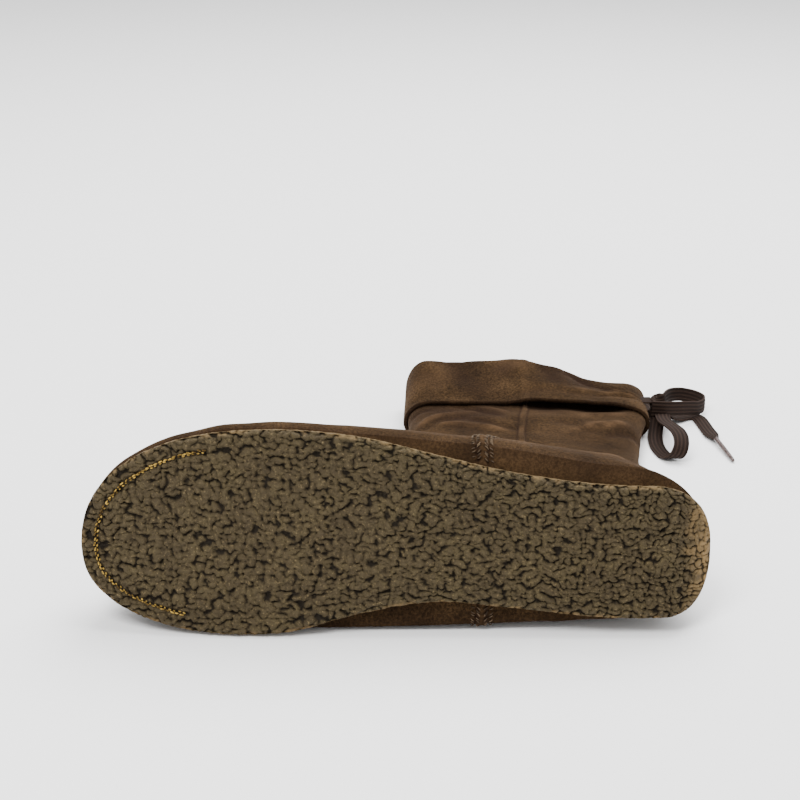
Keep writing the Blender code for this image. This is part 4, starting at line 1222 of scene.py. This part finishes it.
def upper_form():
    """The upper's outer skin as a grid, with each point's distance from the side seam and each row's step.

    The flank between the margin and the foot's first ring is filled with rows: margin (1 - t) + ring t.
    """
    rim = steps_for_reach(np.array([RIM_REACH]))
    steps = np.concatenate([FOOT_ROWS, TURN_ROWS, np.linspace(11.0, rim[0], SHAFT_ROWS)])
    ring = rings_at(steps)
    share, from_seam = side_columns(ring)
    raised = SEAM_RISE * seam_profile(from_seam)
    along = ring["back"] + share * (ring["front"] - ring["back"])
    high, lateral, medial = foot_sides(ring, share, raised, along)
    away = SOLE_TOP + ring["rise_back"] + share * (ring["rise_front"] - ring["rise_back"])
    over, beneath = slack_sides(ring, share, raised, along, away)
    slack = ring["slack"][..., None]
    out = laid_down(along, lateral, high) * (1 - slack) + on_floor(along, away, over) * slack
    home = laid_down(along, medial, high) * (1 - slack) + on_floor(along, away, beneath) * slack
    rings = there_and_home(out, home)
    seam = there_and_home(from_seam, from_seam)
    margin = []
    share = share[:1]
    for inset, rise in MARGIN_ROWS:
        length, sole_out, sole_in = outline_sides(share, inset)
        level = SOLE_TOP + bed_height(length) + rise
        margin.append(there_and_home(laid_down(length, sole_out, level), laid_down(length, sole_in, level)))
    rise = np.linspace(0.0, 1.0, FLANK_ROWS + 1, endpoint=False)[1:, None]
    flank = margin[-1] * (1 - rise[..., None]) + rings[:1] * rise[..., None]
    grid = np.concatenate([*margin, flank, rings], axis=0)
    under = np.full((len(margin), seam.shape[1]), FAR_FROM_SEAM)
    seam = np.concatenate([under, np.repeat(seam[:1], FLANK_ROWS, axis=0), seam], axis=0)
    return grid, seam, np.concatenate([[MARGIN_STEP] * len(margin), rise[:, 0] + MARGIN_STEP, steps])


# %% [markdown]
# Each crease is a short line with a width and a depth. A point near the line sinks by a bell-shaped
# amount, and the leather beside it rises a little, as cloth does. A negative depth makes a ridge. The
# lines are written in shares: along the shaft's width from its back, and away from the tread as shares of
# the shaft's height.

# %% Creases
CREASE_BOW = 0.0022
CREASE_SHOULDER = 0.3
SHOULDER_REACH = 2.2
CREASES = (
    # along, away, along, away, width, depth: the shaft's upper side in front of the seam
    (0.790, 0.828, 0.585, 0.741, 0.0030, 0.0012),
    (0.965, 0.716, 0.700, 0.788, 0.0030, -0.0011),
    (0.930, 0.690, 0.720, 0.752, 0.0028, 0.0008),
    (0.690, 0.820, 0.580, 0.780, 0.0022, -0.0007),
    (0.910, 0.712, 0.580, 0.668, 0.0030, -0.0010),
    (0.780, 0.738, 0.545, 0.668, 0.0026, 0.0010),
    (0.990, 0.790, 0.880, 0.800, 0.0030, 0.0008),
    # the hollow under the cuff's hem, behind the seam
    (0.520, 0.842, 0.060, 0.838, 0.0070, 0.0026),
    # broad soft folds behind the seam
    (0.360, 0.690, 0.060, 0.742, 0.0050, -0.0010),
    (0.420, 0.735, 0.240, 0.690, 0.0060, 0.0009),
    (0.300, 0.770, 0.060, 0.805, 0.0045, -0.0008),
    (0.200, 0.668, 0.020, 0.700, 0.0040, 0.0010),
)
CUFF_CREASES = (
    # the dips of the fold and the body of the cuff
    (0.820, 1.000, 0.760, 0.900, 0.0080, 0.0014),
    (0.930, 0.960, 0.860, 0.880, 0.0050, 0.0007),
    (0.560, 1.020, 0.520, 0.940, 0.0110, -0.0016),
    (0.300, 1.000, 0.200, 0.930, 0.0090, 0.0015),
    (0.440, 0.990, 0.360, 0.900, 0.0060, 0.0008),
    (0.560, 0.862, 0.200, 0.872, 0.0040, 0.0006),
    # the gathers at the drawstring
    (0.330, 0.885, 0.030, 0.905, 0.0030, -0.0009),
    (0.300, 0.975, 0.100, 0.935, 0.0036, 0.0010),
    (0.200, 0.950, 0.020, 0.925, 0.0022, 0.0013),
    (0.160, 0.915, 0.000, 0.912, 0.0020, 0.0012),
    (0.200, 0.870, 0.020, 0.893, 0.0022, 0.0012),
    (0.120, 0.932, 0.000, 0.918, 0.0018, -0.0010),
    (0.140, 0.888, 0.000, 0.902, 0.0018, -0.0010),
)


def own_lengths(points):
    """How far points of the lying shaft are along it and away from the tread."""
    return SHIFT[0] - points[..., 0], points[..., 1] - SHIFT[1]


def crease_depth(points, creases):
    """The sum of all creases at each point: a bell along a line's width, with a low shoulder beside it."""
    along, away = own_lengths(points)
    total = np.zeros(along.shape)
    for start_along, start_away, end_along, end_away, width, depth in creases:
        start = np.array([start_along * SHAFT_WIDTH, SOLE_TOP + start_away * SHAFT_HEIGHT])
        line = np.array([end_along * SHAFT_WIDTH, SOLE_TOP + end_away * SHAFT_HEIGHT]) - start
        size = np.linalg.norm(line)
        t = ((along - start[0]) * line[0] + (away - start[1]) * line[1]) / size**2
        bow = CREASE_BOW * np.sin(np.clip(t, 0, 1) * np.pi)
        offset = ((away - start[1]) * line[0] - (along - start[0]) * line[1]) / size + bow
        fade = step_up(t, -0.10, 0.25) * (1 - step_up(t, 0.70, 1.10))
        shoulder = CREASE_SHOULDER * bell(offset, 0.0, width * SHOULDER_REACH)
        total += depth * fade * ((1 + CREASE_SHOULDER) * bell(offset, 0.0, width) - shoulder)
    return total


# %% [markdown]
# Darker and lighter patches of the suede are soft round spots in this table: painted shade, mostly just
# under the cuff's hem and beside the ridge at its seam, and painted light. A positive strength is painted
# shade and a negative one painted light.

# %% Painted light and shade spots
SHAFT_LIGHT_AND_SHADE_SPOTS = (
    # along, away, radius, strength
    (0.860, 0.790, 0.0160, 0.58),
    (0.660, 0.785, 0.0160, 0.62),
    (0.760, 0.700, 0.0130, 0.28),
    (0.860, 0.660, 0.0130, -0.14),
    (0.400, 0.815, 0.0120, 0.42),
    (0.150, 0.810, 0.0110, 0.36),
    (0.300, 0.680, 0.0180, 0.16),
    (0.050, 0.720, 0.0120, 0.20),
    (0.250, 0.730, 0.0130, -0.12),
)
CUFF_LIGHT_AND_SHADE_SPOTS = (
    (0.860, 0.930, 0.0140, -0.16),
    (0.575, 0.960, 0.0080, 0.55),
    (0.700, 0.890, 0.0120, 0.42),
    (0.495, 0.950, 0.0050, -0.24),
    (0.330, 0.950, 0.0130, 0.50),
    (0.420, 0.890, 0.0100, -0.08),
    (0.120, 0.920, 0.0120, 0.10),
)


def light_and_shade_spots(points, spots):
    """The sum of soft round spots, bells of the distance from each one's middle."""
    along, away = own_lengths(points)
    total = np.zeros(along.shape)
    for share_along, share_away, radius, strength in spots:
        gap = np.hypot(along - share_along * SHAFT_WIDTH, away - SOLE_TOP - share_away * SHAFT_HEIGHT)
        total += strength * bell(gap, 0.0, radius)
    return total


# %% [markdown]
# The finished upper is the base form, pushed out and in along its normals: creases on the slack shaft,
# puckers where the side seam's thread pulls the leather, and a faint unevenness. The same fields colour
# it: ridges are lighter from wear and a painted highlight, and troughs get painted shade, just where
# they are. A Solidify modifier then gives the leather its thickness.

# %% Upper
PUCKER_PITCH = 0.0030
PUCKER_DEPTH = 0.0006
PUCKER_WIDTH = 0.0036
PUCKER_SLANT = 0.8
PUCKER_CLEAR = 0.0016
UNEVEN_WAVES = (0.011, 0.0007)
NAP_PITCH = 0.006
CLEAR_OF_FLOOR = (0.0004, 0.006)
GUTTER_AT = 0.72 * SEAM_WIDTH
GUTTER_WIDTH = 0.0006
CREASE_SHADE = 300
CREASE_RIDGE_WEAR_AND_LIGHT = 700
PUCKER_RIDGE_HIGHLIGHT = 500
PUCKER_SHADE = 900
# the middle and reach, in steps of the ring table, of the lighter bands round the foot: painted highlights on
# the up-facing shoulder and rim, and painted light on the flank
SHOULDER_HIGHLIGHT_BAND = (5.4, 1.3)
RIM_HIGHLIGHT_BAND = (6.3, 1.3)
FLANK_LIGHT_BAND = (3.4, 2.2)


def upper_relief(grid, seam, row_step):
    """How far the skin is pushed: the creases inward, the puckers and the unevenness outward."""
    creases = crease_depth(grid, CREASES) * step_up(row_step, 9.5, 11.0) * lateral_columns(grid.shape[1])
    on_foot = step_up(row_step, -0.95, -0.7) * (1 - step_up(row_step, 5.0, 6.5))
    climb = np.cumsum(np.linalg.norm(np.diff(grid, axis=0, prepend=grid[:1]), axis=-1), axis=0)
    beside = np.exp(-((seam / PUCKER_WIDTH) ** 4)) * step_up(np.abs(seam), 0.0, PUCKER_CLEAR)
    slant = 2 * np.pi * (climb + PUCKER_SLANT * np.abs(seam)) / PUCKER_PITCH
    pucker = PUCKER_DEPTH * beside * on_foot * np.sin(slant)
    uneven = soft_push(grid[..., 0], grid[..., 1] + grid[..., 2], UNEVEN_WAVES, 41.0)
    return creases, pucker, uneven * step_up(row_step, -0.8, 0.5)


def upper_masks(grid, seam, row_step, creases, pucker, facing_up):
    """Where the nap is lighter, from wear, painted highlights and painted light, and where it gets painted
    shade.
    """
    lateral = lateral_columns(grid.shape[1])
    nap = noise_of_pitch(grid[..., 0], grid[..., 1], NAP_PITCH, 43.0)
    # soft spots of painted shade and painted light on the shaft's upper side
    spots = light_and_shade_spots(grid, SHAFT_LIGHT_AND_SHADE_SPOTS) * step_up(row_step, 9.5, 11.0) * lateral
    # painted shade: at the flank's foot by the sole, in the gutters beside the seam strip, in the creases and
    # in the pucker troughs
    edge = step_up(row_step, -1.0, 0.0) * (1 - step_up(row_step, 0.0, 0.8))
    gutter_shade = bell(np.abs(seam), GUTTER_AT, GUTTER_WIDTH)
    trough_shade = np.clip(-pucker * PUCKER_SHADE, 0, 0.5)
    shade = np.clip(0.55 * gutter_shade + 0.35 * edge + CREASE_SHADE * np.maximum(creases, 0), 0, 0.8)
    shade = np.clip(shade + np.maximum(spots, 0) + trough_shade, 0, 0.85)
    # crease ridges are lighter from wear and a painted highlight, and pucker ridges from a painted highlight
    ridge_wear_and_light = np.clip(-creases * CREASE_RIDGE_WEAR_AND_LIGHT + pucker * PUCKER_RIDGE_HIGHLIGHT, 0, 0.5)
    # painted highlights on the up-facing shoulder and rim bands, painted light on the lateral flank, and
    # lighter on the lowest lateral rows
    shoulder = bell(row_step, *SHOULDER_HIGHLIGHT_BAND) * facing_up * step_up(nap, 0.2, 0.8)
    rim = bell(row_step, *RIM_HIGHLIGHT_BAND) * facing_up * (0.5 + 0.5 * nap)
    flank = bell(row_step, *FLANK_LIGHT_BAND) * lateral * (0.10 + 0.12 * nap)
    low = 0.18 * (1 - step_up(row_step, -0.3, 0.4)) * lateral * (0.4 + 0.6 * nap)
    wear_and_painted_light = 0.25 * seam_profile(seam) * nap + ridge_wear_and_light * nap + 0.12 * shoulder + 0.36 * rim
    return {"wear_and_painted_light": np.clip(wear_and_painted_light + flank + low + np.maximum(-spots, 0), 0, 0.6), "shade": shade}


def make_upper():
    """The upper: its base form pushed by its relief, with a wall of leather inside the skin."""
    grid, seam, steps = upper_form()
    row_step = steps[:, None]
    normals = ring_normals(grid)
    creases, pucker, uneven = upper_relief(grid, seam, row_step)
    move = (-creases + pucker + uneven) * step_up(grid[..., 2], *CLEAR_OF_FLOOR)
    points = grid + normals * move[..., None]
    masks = upper_masks(grid, seam, row_step, creases, pucker, np.clip(normals[..., 2], 0, 1))
    upper = piece_from_grid("suede_upper", points, "suede", turned=True, masks=masks)
    solidify(upper, LEATHER, -1.0)
    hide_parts("upper")
    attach(upper, "root")
    return upper, points


UPPER, UPPER_POINTS = make_upper()
print("upper faces", len(UPPER.data.polygons))

# %% [markdown]
# ## The folded cuff
# The top of the shaft is folded out and down over itself. The cuff's path climbs from its raw hem to the
# fold, turns over it and goes down inside. Every row is the shaft's own outline at that height, moved out
# or in by the leather's thickness, so that the cuff hugs the shaft. It gathers where the drawstring comes
# out at the back.

# %% Cuff
HEM_ROWS = 26
FOLD_ROWS = 12
INSIDE_ROWS = 14
CUFF_WAVES = (0.014, 0.0009)
CUFF_NAP_PITCH = 0.007
CUFF_CLEAR_OF_FLOOR = (0.0015, 0.008)
CUFF_CREASE_SHADE = 350
CUFF_CREASE_RIDGE_WEAR_AND_LIGHT = 300
HEM_SHADE = 0.45


def cuff_path():
    """From the outer hem over the fold to the inner hem: reach, offset and flare, one row each."""
    outer = CUFF_GAP + LEATHER / 2
    inner = -LEATHER - CUFF_GAP - LEATHER / 2
    radius = (outer - inner) / 2
    turn_reach = FOLD_REACH - radius - LEATHER / 2
    up = np.linspace(0, 1, HEM_ROWS, endpoint=False)
    out = np.column_stack([
        HEM_REACH + up * (turn_reach - HEM_REACH),
        np.full(HEM_ROWS, outer),
        HEM_STAND_OFF * (1 - step_up(up, -0.2, 0.9)),
    ])
    turn = np.linspace(0, np.pi, FOLD_ROWS)
    bent_reach = turn_reach + radius * np.sin(turn)
    over = np.column_stack([bent_reach, inner + radius * (1 + np.cos(turn)), turn * 0])
    down = np.linspace(0, 1, INSIDE_ROWS + 1)[1:]
    middle = (HEM_REACH + RIM_REACH) / 2
    home = np.column_stack([turn_reach + down * (middle - turn_reach), np.full(INSIDE_ROWS, inner), down * 0])
    return np.vstack([out, over, home])


def cuff_form():
    """The cuff's middle skin: shaft outlines moved along their own normals, with distances from the seam."""
    path = cuff_path()
    reach, offset, flare = (path[:, i : i + 1] for i in range(3))
    ring = rings_at(steps_for_reach(path[:, 0]))
    share, from_seam = side_columns(ring)
    along = ring["back"] + share * (ring["front"] - ring["back"])
    raised = CUFF_SEAM_RISE * seam_profile(from_seam)
    away = np.broadcast_to(reach, along.shape)
    over, beneath = slack_sides(ring, share, raised, along, away, flare)
    ring_along = there_and_home(along, along)
    ring_over = there_and_home(over, beneath)
    ring_along, ring_over = moved_out(ring_along, ring_over, offset)
    return on_floor(ring_along, reach, ring_over), there_and_home(from_seam, from_seam), path


def make_cuff():
    """The cuff: its form, the gathers and the soft waves of its fold."""
    grid, seam, path = cuff_form()
    normals = ring_normals(grid)
    row = np.arange(len(path))[:, None]
    outer = (row < HEM_ROWS + 4) * lateral_columns(grid.shape[1])
    creases = crease_depth(grid, CUFF_CREASES) * outer
    uneven = soft_push(grid[..., 0], grid[..., 1], CUFF_WAVES, 47.0) * outer
    move = (-creases + uneven) * step_up(grid[..., 2], *CUFF_CLEAR_OF_FLOOR)
    points = grid + normals * move[..., None]
    nap = noise_of_pitch(grid[..., 0], grid[..., 1], CUFF_NAP_PITCH, 49.0)
    # painted shade along the hem's first row, in the creases and in the darker spots; painted light in the
    # lighter spots
    spots = light_and_shade_spots(grid, CUFF_LIGHT_AND_SHADE_SPOTS) * outer
    shade = np.clip(HEM_SHADE * (row < 1) + CUFF_CREASE_SHADE * np.maximum(creases, 0), 0, 0.7)
    shade = np.clip(shade + np.maximum(spots, 0), 0, 0.8)
    wear_and_painted_light = 0.10 * seam_profile(seam) * outer * nap + np.clip(-creases * CUFF_CREASE_RIDGE_WEAR_AND_LIGHT, 0, 0.3) * nap
    wear_and_painted_light = np.clip(wear_and_painted_light + np.maximum(-spots, 0), 0, 0.5)
    cuff = piece_from_grid("suede_cuff", points, "suede", turned=True, masks={"wear_and_painted_light": wear_and_painted_light, "shade": shade})
    solidify(cuff, LEATHER, 0.0)
    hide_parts("cuff")
    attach(cuff, "root")
    return cuff


CUFF = make_cuff()
print("cuff faces", len(CUFF.data.polygons))

# %% [markdown]
# ## Stitches
# Two kinds of thread show. Yellow thread holds the sole to the upper round the toe, in a groove of the
# tread. Brown thread closes the side seam of the foot with short slanted stitches. Every stitch is the
# same small bent capsule, placed by whole arrays and joined into one piece.

# %% Stitch arrays
STITCH_RINGS = 6
STITCH_SIDES = 6
# the two quads that close a stitch's six-sided start
END_QUADS = np.array(((3, 2, 1, 0), (0, 5, 4, 3)))


def stitch_mesh(name, starts, ends, normals, radius, rise, finish, slot_name):
    """Many capsules in one mesh: each runs from its start to its end and bows up along its normal."""
    count = len(starts)
    t = np.linspace(0, 1, STITCH_RINGS)[None, :, None]
    middle = starts[:, None] * (1 - t) + ends[:, None] * t + normals[:, None] * rise * np.sin(t * np.pi)
    heading = ends - starts
    heading /= np.linalg.norm(heading, axis=1, keepdims=True)
    side = np.cross(heading, normals)
    side /= np.linalg.norm(side, axis=1, keepdims=True)
    above = np.cross(side, heading)
    turn = np.linspace(0, 2 * np.pi, STITCH_SIDES, endpoint=False)
    circle = np.cos(turn)[None, :, None] * side[:, None] + np.sin(turn)[None, :, None] * above[:, None]
    thin = np.sqrt(np.clip(1 - (2 * t - 1) ** 4, 0.02, 1)) * radius
    grid = middle[:, :, None, :] + circle[:, None] * thin[..., None]
    index = np.arange(count * STITCH_RINGS * STITCH_SIDES).reshape(count, STITCH_RINGS, STITCH_SIDES)
    after = np.roll(index, -1, axis=2)
    quads = np.stack([index[:, :-1], after[:, :-1], after[:, 1:], index[:, 1:]], axis=-1).reshape(-1, 4)
    points = grid.reshape(-1, 3)
    low = index[:, 0][:, END_QUADS].reshape(-1, 4)
    high = index[:, -1][:, END_QUADS[:, ::-1]].reshape(-1, 4)
    faces = np.vstack([quads, low, high])
    uv = np.zeros((len(points), 2))
    uv[:, 0] = np.tile(np.repeat(np.linspace(0, 1, STITCH_RINGS), STITCH_SIDES), count)
    uv[:, 1] = np.tile(np.linspace(0, 1, STITCH_SIDES), count * STITCH_RINGS)
    piece = piece_from_faces(name, points, faces, finish, uv)
    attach(piece, "root")
    return piece


# %% [markdown]
# The toe's thread is thick, waxed and yellow. Two strands run in the groove, one on its outer side and
# one deeper in, which together look like a saddle stitch. Small pushes for each stitch keep it from
# looking machine-perfect.

# %% Toe stitches
TOE_STITCH = 0.0019
TOE_STITCH_PITCH = 0.0021
TOE_THREAD_RADIUS = 0.00034
TOE_THREAD_RISE = 0.00030
TOE_LINE_POINTS = 900
TOE_CENTRE = 0.78
TOE_PUSH = 0.0006
TOE_SLANT = 0.0011
# out from the line, share of a stitch's length, sunk into the groove
TOE_STRANDS = ((0.00045, 1.0, 0.0001), (-0.0003, 0.65, 0.0005))


def make_toe_stitches():
    """Two strands along the toe's groove, each stitch pushed, turned and sunk by its own repeatable share."""
    line = stitch_line(TOE_LINE_POINTS)
    run = np.append(0.0, np.cumsum(np.hypot(*np.diff(line, axis=0).T)))
    starts = []
    ends = []
    for strand, (out, size, sink) in enumerate(TOE_STRANDS):
        at = np.arange(TOE_STITCH * 0.5 * strand, run[-1] - TOE_STITCH, TOE_STITCH_PITCH)
        count = np.arange(len(at))
        push = (hash_noise(count, 7.0, 1.0 + strand) - 0.5) * TOE_PUSH + out
        slant = (hash_noise(count, 5.0, 3.0 + strand) - 0.25) * TOE_SLANT
        sunk = sink + TOE_PUSH * hash_noise(count, 9.0, 2.0 + strand)
        reach = TOE_STITCH * size * (0.75 + 0.4 * hash_noise(count, 4.0, 6.0 + strand))
        for place, moved, bag in ((at, -slant / 2, starts), (at + reach, slant / 2, ends)):
            along = np.interp(place, run, line[:, 0])
            side = np.interp(place, run, line[:, 1])
            outward = np.column_stack([along - TOE_CENTRE * FOOT_LENGTH, side - AXIS])
            outward /= np.linalg.norm(outward, axis=1, keepdims=True)
            along = along + outward[:, 0] * (push + moved)
            side = side + outward[:, 1] * (push + moved)
            bag.append(laid_down(along, side, bed_height(along) + sunk))
    first = np.vstack(starts)
    last = np.vstack(ends)
    down = np.array([0.0, -math.cos(LIE_TILT), math.sin(LIE_TILT)])
    normals = np.broadcast_to(down, first.shape)
    thread = (TOE_THREAD_RADIUS, TOE_THREAD_RISE, "toe_thread")
    return stitch_mesh("toe_stitches", first, last, normals, *thread, "crepe_rubber")


TOE_STITCHES = make_toe_stitches()
print("toe stitches", len(TOE_STITCHES.data.polygons) // ((STITCH_RINGS - 1) * STITCH_SIDES + 4))

# %% [markdown]
# The foot's side seam is closed from the sole to the ankle with short brown stitches. They lean towards
# the seam from both sides, like a herringbone. The upper's grid has columns beside the seam, so each line
# of stitches is a blend of two of them, and the stitches follow every pucker.

# %% Side seam stitches
SEAM_STITCH_PITCH = 0.0017
SEAM_STITCH_RADIUS = 0.00026
SEAM_STITCH_RISE = 0.00045
SEAM_STITCH_JITTER = 0.0010
SEAM_STITCH_START = 0.0030
SEAM_STITCH_END = 0.004
STITCH_LIFT = 0.0001
STITCH_OFF_FLOOR = 0.0015
# from the seam to a stitch's foot and to its head, and how far it leans on along the seam
SEAM_STITCH_RUNS = ((0.0047, 0.0030, 0.0012), (0.0024, 0.0008, 0.0013))


def beside_seam(grid, offset, mirrored):
    """The line of points that runs beside the seam, this far from it, between two columns of the grid."""
    column = np.interp(offset, STRIP_OFFSETS, np.arange(len(STRIP_OFFSETS)))
    first = min(int(column), len(STRIP_OFFSETS) - 2)
    pair = [HEEL_COLUMNS + first, HEEL_COLUMNS + first + 1]
    if mirrored:
        pair = [(grid.shape[1] - one) % grid.shape[1] for one in pair]
    return grid[:, pair[0]] * (first + 1 - column) + grid[:, pair[1]] * (column - first)


def on_line(place, run, line):
    """Points at lengths along a line."""
    return np.column_stack([np.interp(place, run, line[:, axis]) for axis in range(3)])


def seam_run(skin, normals, side, mirrored, outer, inner, lean):
    """One line of stitches: their feet and heads on the skin, and the way out of it."""
    foot_line = beside_seam(skin, side * outer, mirrored)
    head_line = beside_seam(skin, side * inner, mirrored)
    out_line = beside_seam(normals, side * (outer + inner) / 2, mirrored)
    run = np.append(0.0, np.cumsum(np.linalg.norm(np.diff(foot_line, axis=0), axis=1)))
    at = np.arange(SEAM_STITCH_START, run[-1] - SEAM_STITCH_END, SEAM_STITCH_PITCH)
    count = np.arange(len(at))
    at = at + (hash_noise(count, outer * 1000, 2.0 + side) - 0.5) * SEAM_STITCH_JITTER
    reach = lean * (0.6 + 0.8 * hash_noise(count, inner * 1000, 4.0 + side))
    return on_line(at, run, foot_line), on_line(at + reach, run, head_line), on_line(at, run, out_line)


def make_seam_stitches(points):
    """Slanted stitches in two lines on each side of the foot's seam, on both sides of the foot."""
    last_row = len(MARGIN_ROWS) + FLANK_ROWS + len(FOOT_ROWS) + len(TURN_ROWS) // 2
    rows = slice(len(MARGIN_ROWS), last_row)
    normals = ring_normals(points)[rows]
    runs = []
    for stitch_run in SEAM_STITCH_RUNS:
        for side in (-1, 1):
            for mirrored in (False, True):
                runs.append(seam_run(points[rows], normals, side, mirrored, *stitch_run))
    first, last, out = (np.vstack(bag) for bag in zip(*runs))
    out = out / np.linalg.norm(out, axis=1, keepdims=True)
    clear = np.minimum(first[:, 2], last[:, 2]) > STITCH_OFF_FLOOR
    first, last, out = first[clear], last[clear], out[clear]
    thread = (SEAM_STITCH_RADIUS, SEAM_STITCH_RISE, "seam_thread")
    lift = out * STITCH_LIFT
    return stitch_mesh("seam_stitches", first + lift, last + lift, out, *thread, "suede")


SEAM_STITCHES = make_seam_stitches(UPPER_POINTS)
print("seam stitches", len(SEAM_STITCHES.data.polygons) // ((STITCH_RINGS - 1) * STITCH_SIDES + 4))

# %% [markdown]
# ## The drawstring
# The same lace runs round inside the fold and comes out of two slits at the back, to the knot. Its path
# is the shaft's outline at that height, moved in by half the leather, and two straight leads.

# %% Drawstring
LEAD_POINTS = 8
LEAD_INTO_KNOT = 0.0012


def make_drawstring():
    """The lace inside the fold: the shaft's outline, opened at its back end and led straight to the knot."""
    ring = rings_at(steps_for_reach(np.array([LACE_REACH])))
    share, _ = side_columns(ring)
    along = ring["back"] + share * (ring["front"] - ring["back"])
    over, beneath = slack_sides(ring, share, 0.0, along, np.full(along.shape, LACE_REACH))
    along = there_and_home(along, along)[0]
    over = there_and_home(over, beneath)[0]
    along, over = moved_out(along, over, -LEATHER / 2)
    kept = along > along.min() + LACE_STRAIGHT
    path = on_floor(along[kept], LACE_REACH, over[kept])
    knot = KNOT_LOW[0] + LEAD_INTO_KNOT
    lead = np.linspace(0, 1, LEAD_POINTS, endpoint=False)[:, None]
    first = np.array([knot, path[0, 1], path[0, 2]])
    last = np.array([knot, path[-1, 1], path[-1, 2]])
    path = np.vstack([first * (1 - lead) + path[0] * lead, path, (last * (1 - lead) + path[-1] * lead)[::-1]])
    grid, uv, length = lace_surface(path, np.array([0.0, 1.0, 0.0]), LACE_WIDTH)
    piece = closed_tube("bow_drawstring", grid, uv, "lace_cotton")
    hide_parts("lace_drawstring")
    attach(piece, "root")
    return length


print("drawstring", round(make_drawstring() * 1000), "mm")

# %% [markdown]
# ## The insole
# The insole is right as it is, deep inside the boot: only a finish is given to it.

# %% Insole
INSOLE = bpy.data.objects["insole"]
INSOLE.data.materials.clear()
INSOLE.data.materials.append(MATERIALS["insole_felt"])

# %% [markdown]
# ## Floor and light
# The photograph is a catalogue picture: white floor, white background, one large soft light from above
# and behind, and a weaker one from in front that shows the tread. The floor takes only a soft shadow.

# %% Stage
FLOOR_SIZE = 12.0
FLOOR_COLOUR = (0.93, 0.93, 0.93, 1.0)
LIGHTS = (
    # name, place, target, size, power
    ("top_box", (0.3, 0.6, 1.5), (0.0, 0.0, 0.0), 1.4, 56.0),
    ("front_box", (-0.5, -0.9, 1.5), (0.0, -0.1, 0.05), 0.7, 34.0),
)


def make_floor():
    """One large pale square."""
    half = FLOOR_SIZE / 2
    corners = np.array([[-half, -half, 0.0], [half, -half, 0.0], [half, half, 0.0], [-half, half, 0.0]])
    _, shader = new_finish("pale_floor", 0.8, specular=0.1)
    shader.inputs["Base Color"].default_value = FLOOR_COLOUR
    floor = piece_from_faces("floor", corners, np.array([[0, 1, 2, 3]]), "pale_floor")
    return floor


def make_area_light(name, place, target, size, power):
    """A square soft box that faces its target."""
    data = bpy.data.lights.new(name, "AREA")
    data.size = size
    data.energy = power
    lamp = bpy.data.objects.new(name, data)
    bpy.context.collection.objects.link(lamp)
    lamp.location = place
    lamp.rotation_euler = (Vector(target) - Vector(place)).to_track_quat("-Z", "Y").to_euler()
    return lamp


def make_world(strength):
    """An even white surround."""
    world = bpy.data.worlds.new("surround")
    world.use_nodes = True
    world.node_tree.nodes["Background"].inputs["Color"].default_value = (1.0, 1.0, 1.0, 1.0)
    world.node_tree.nodes["Background"].inputs["Strength"].default_value = strength
    bpy.context.scene.world = world


make_floor()
make_world(1.0)
for light in LIGHTS:
    make_area_light(*light)
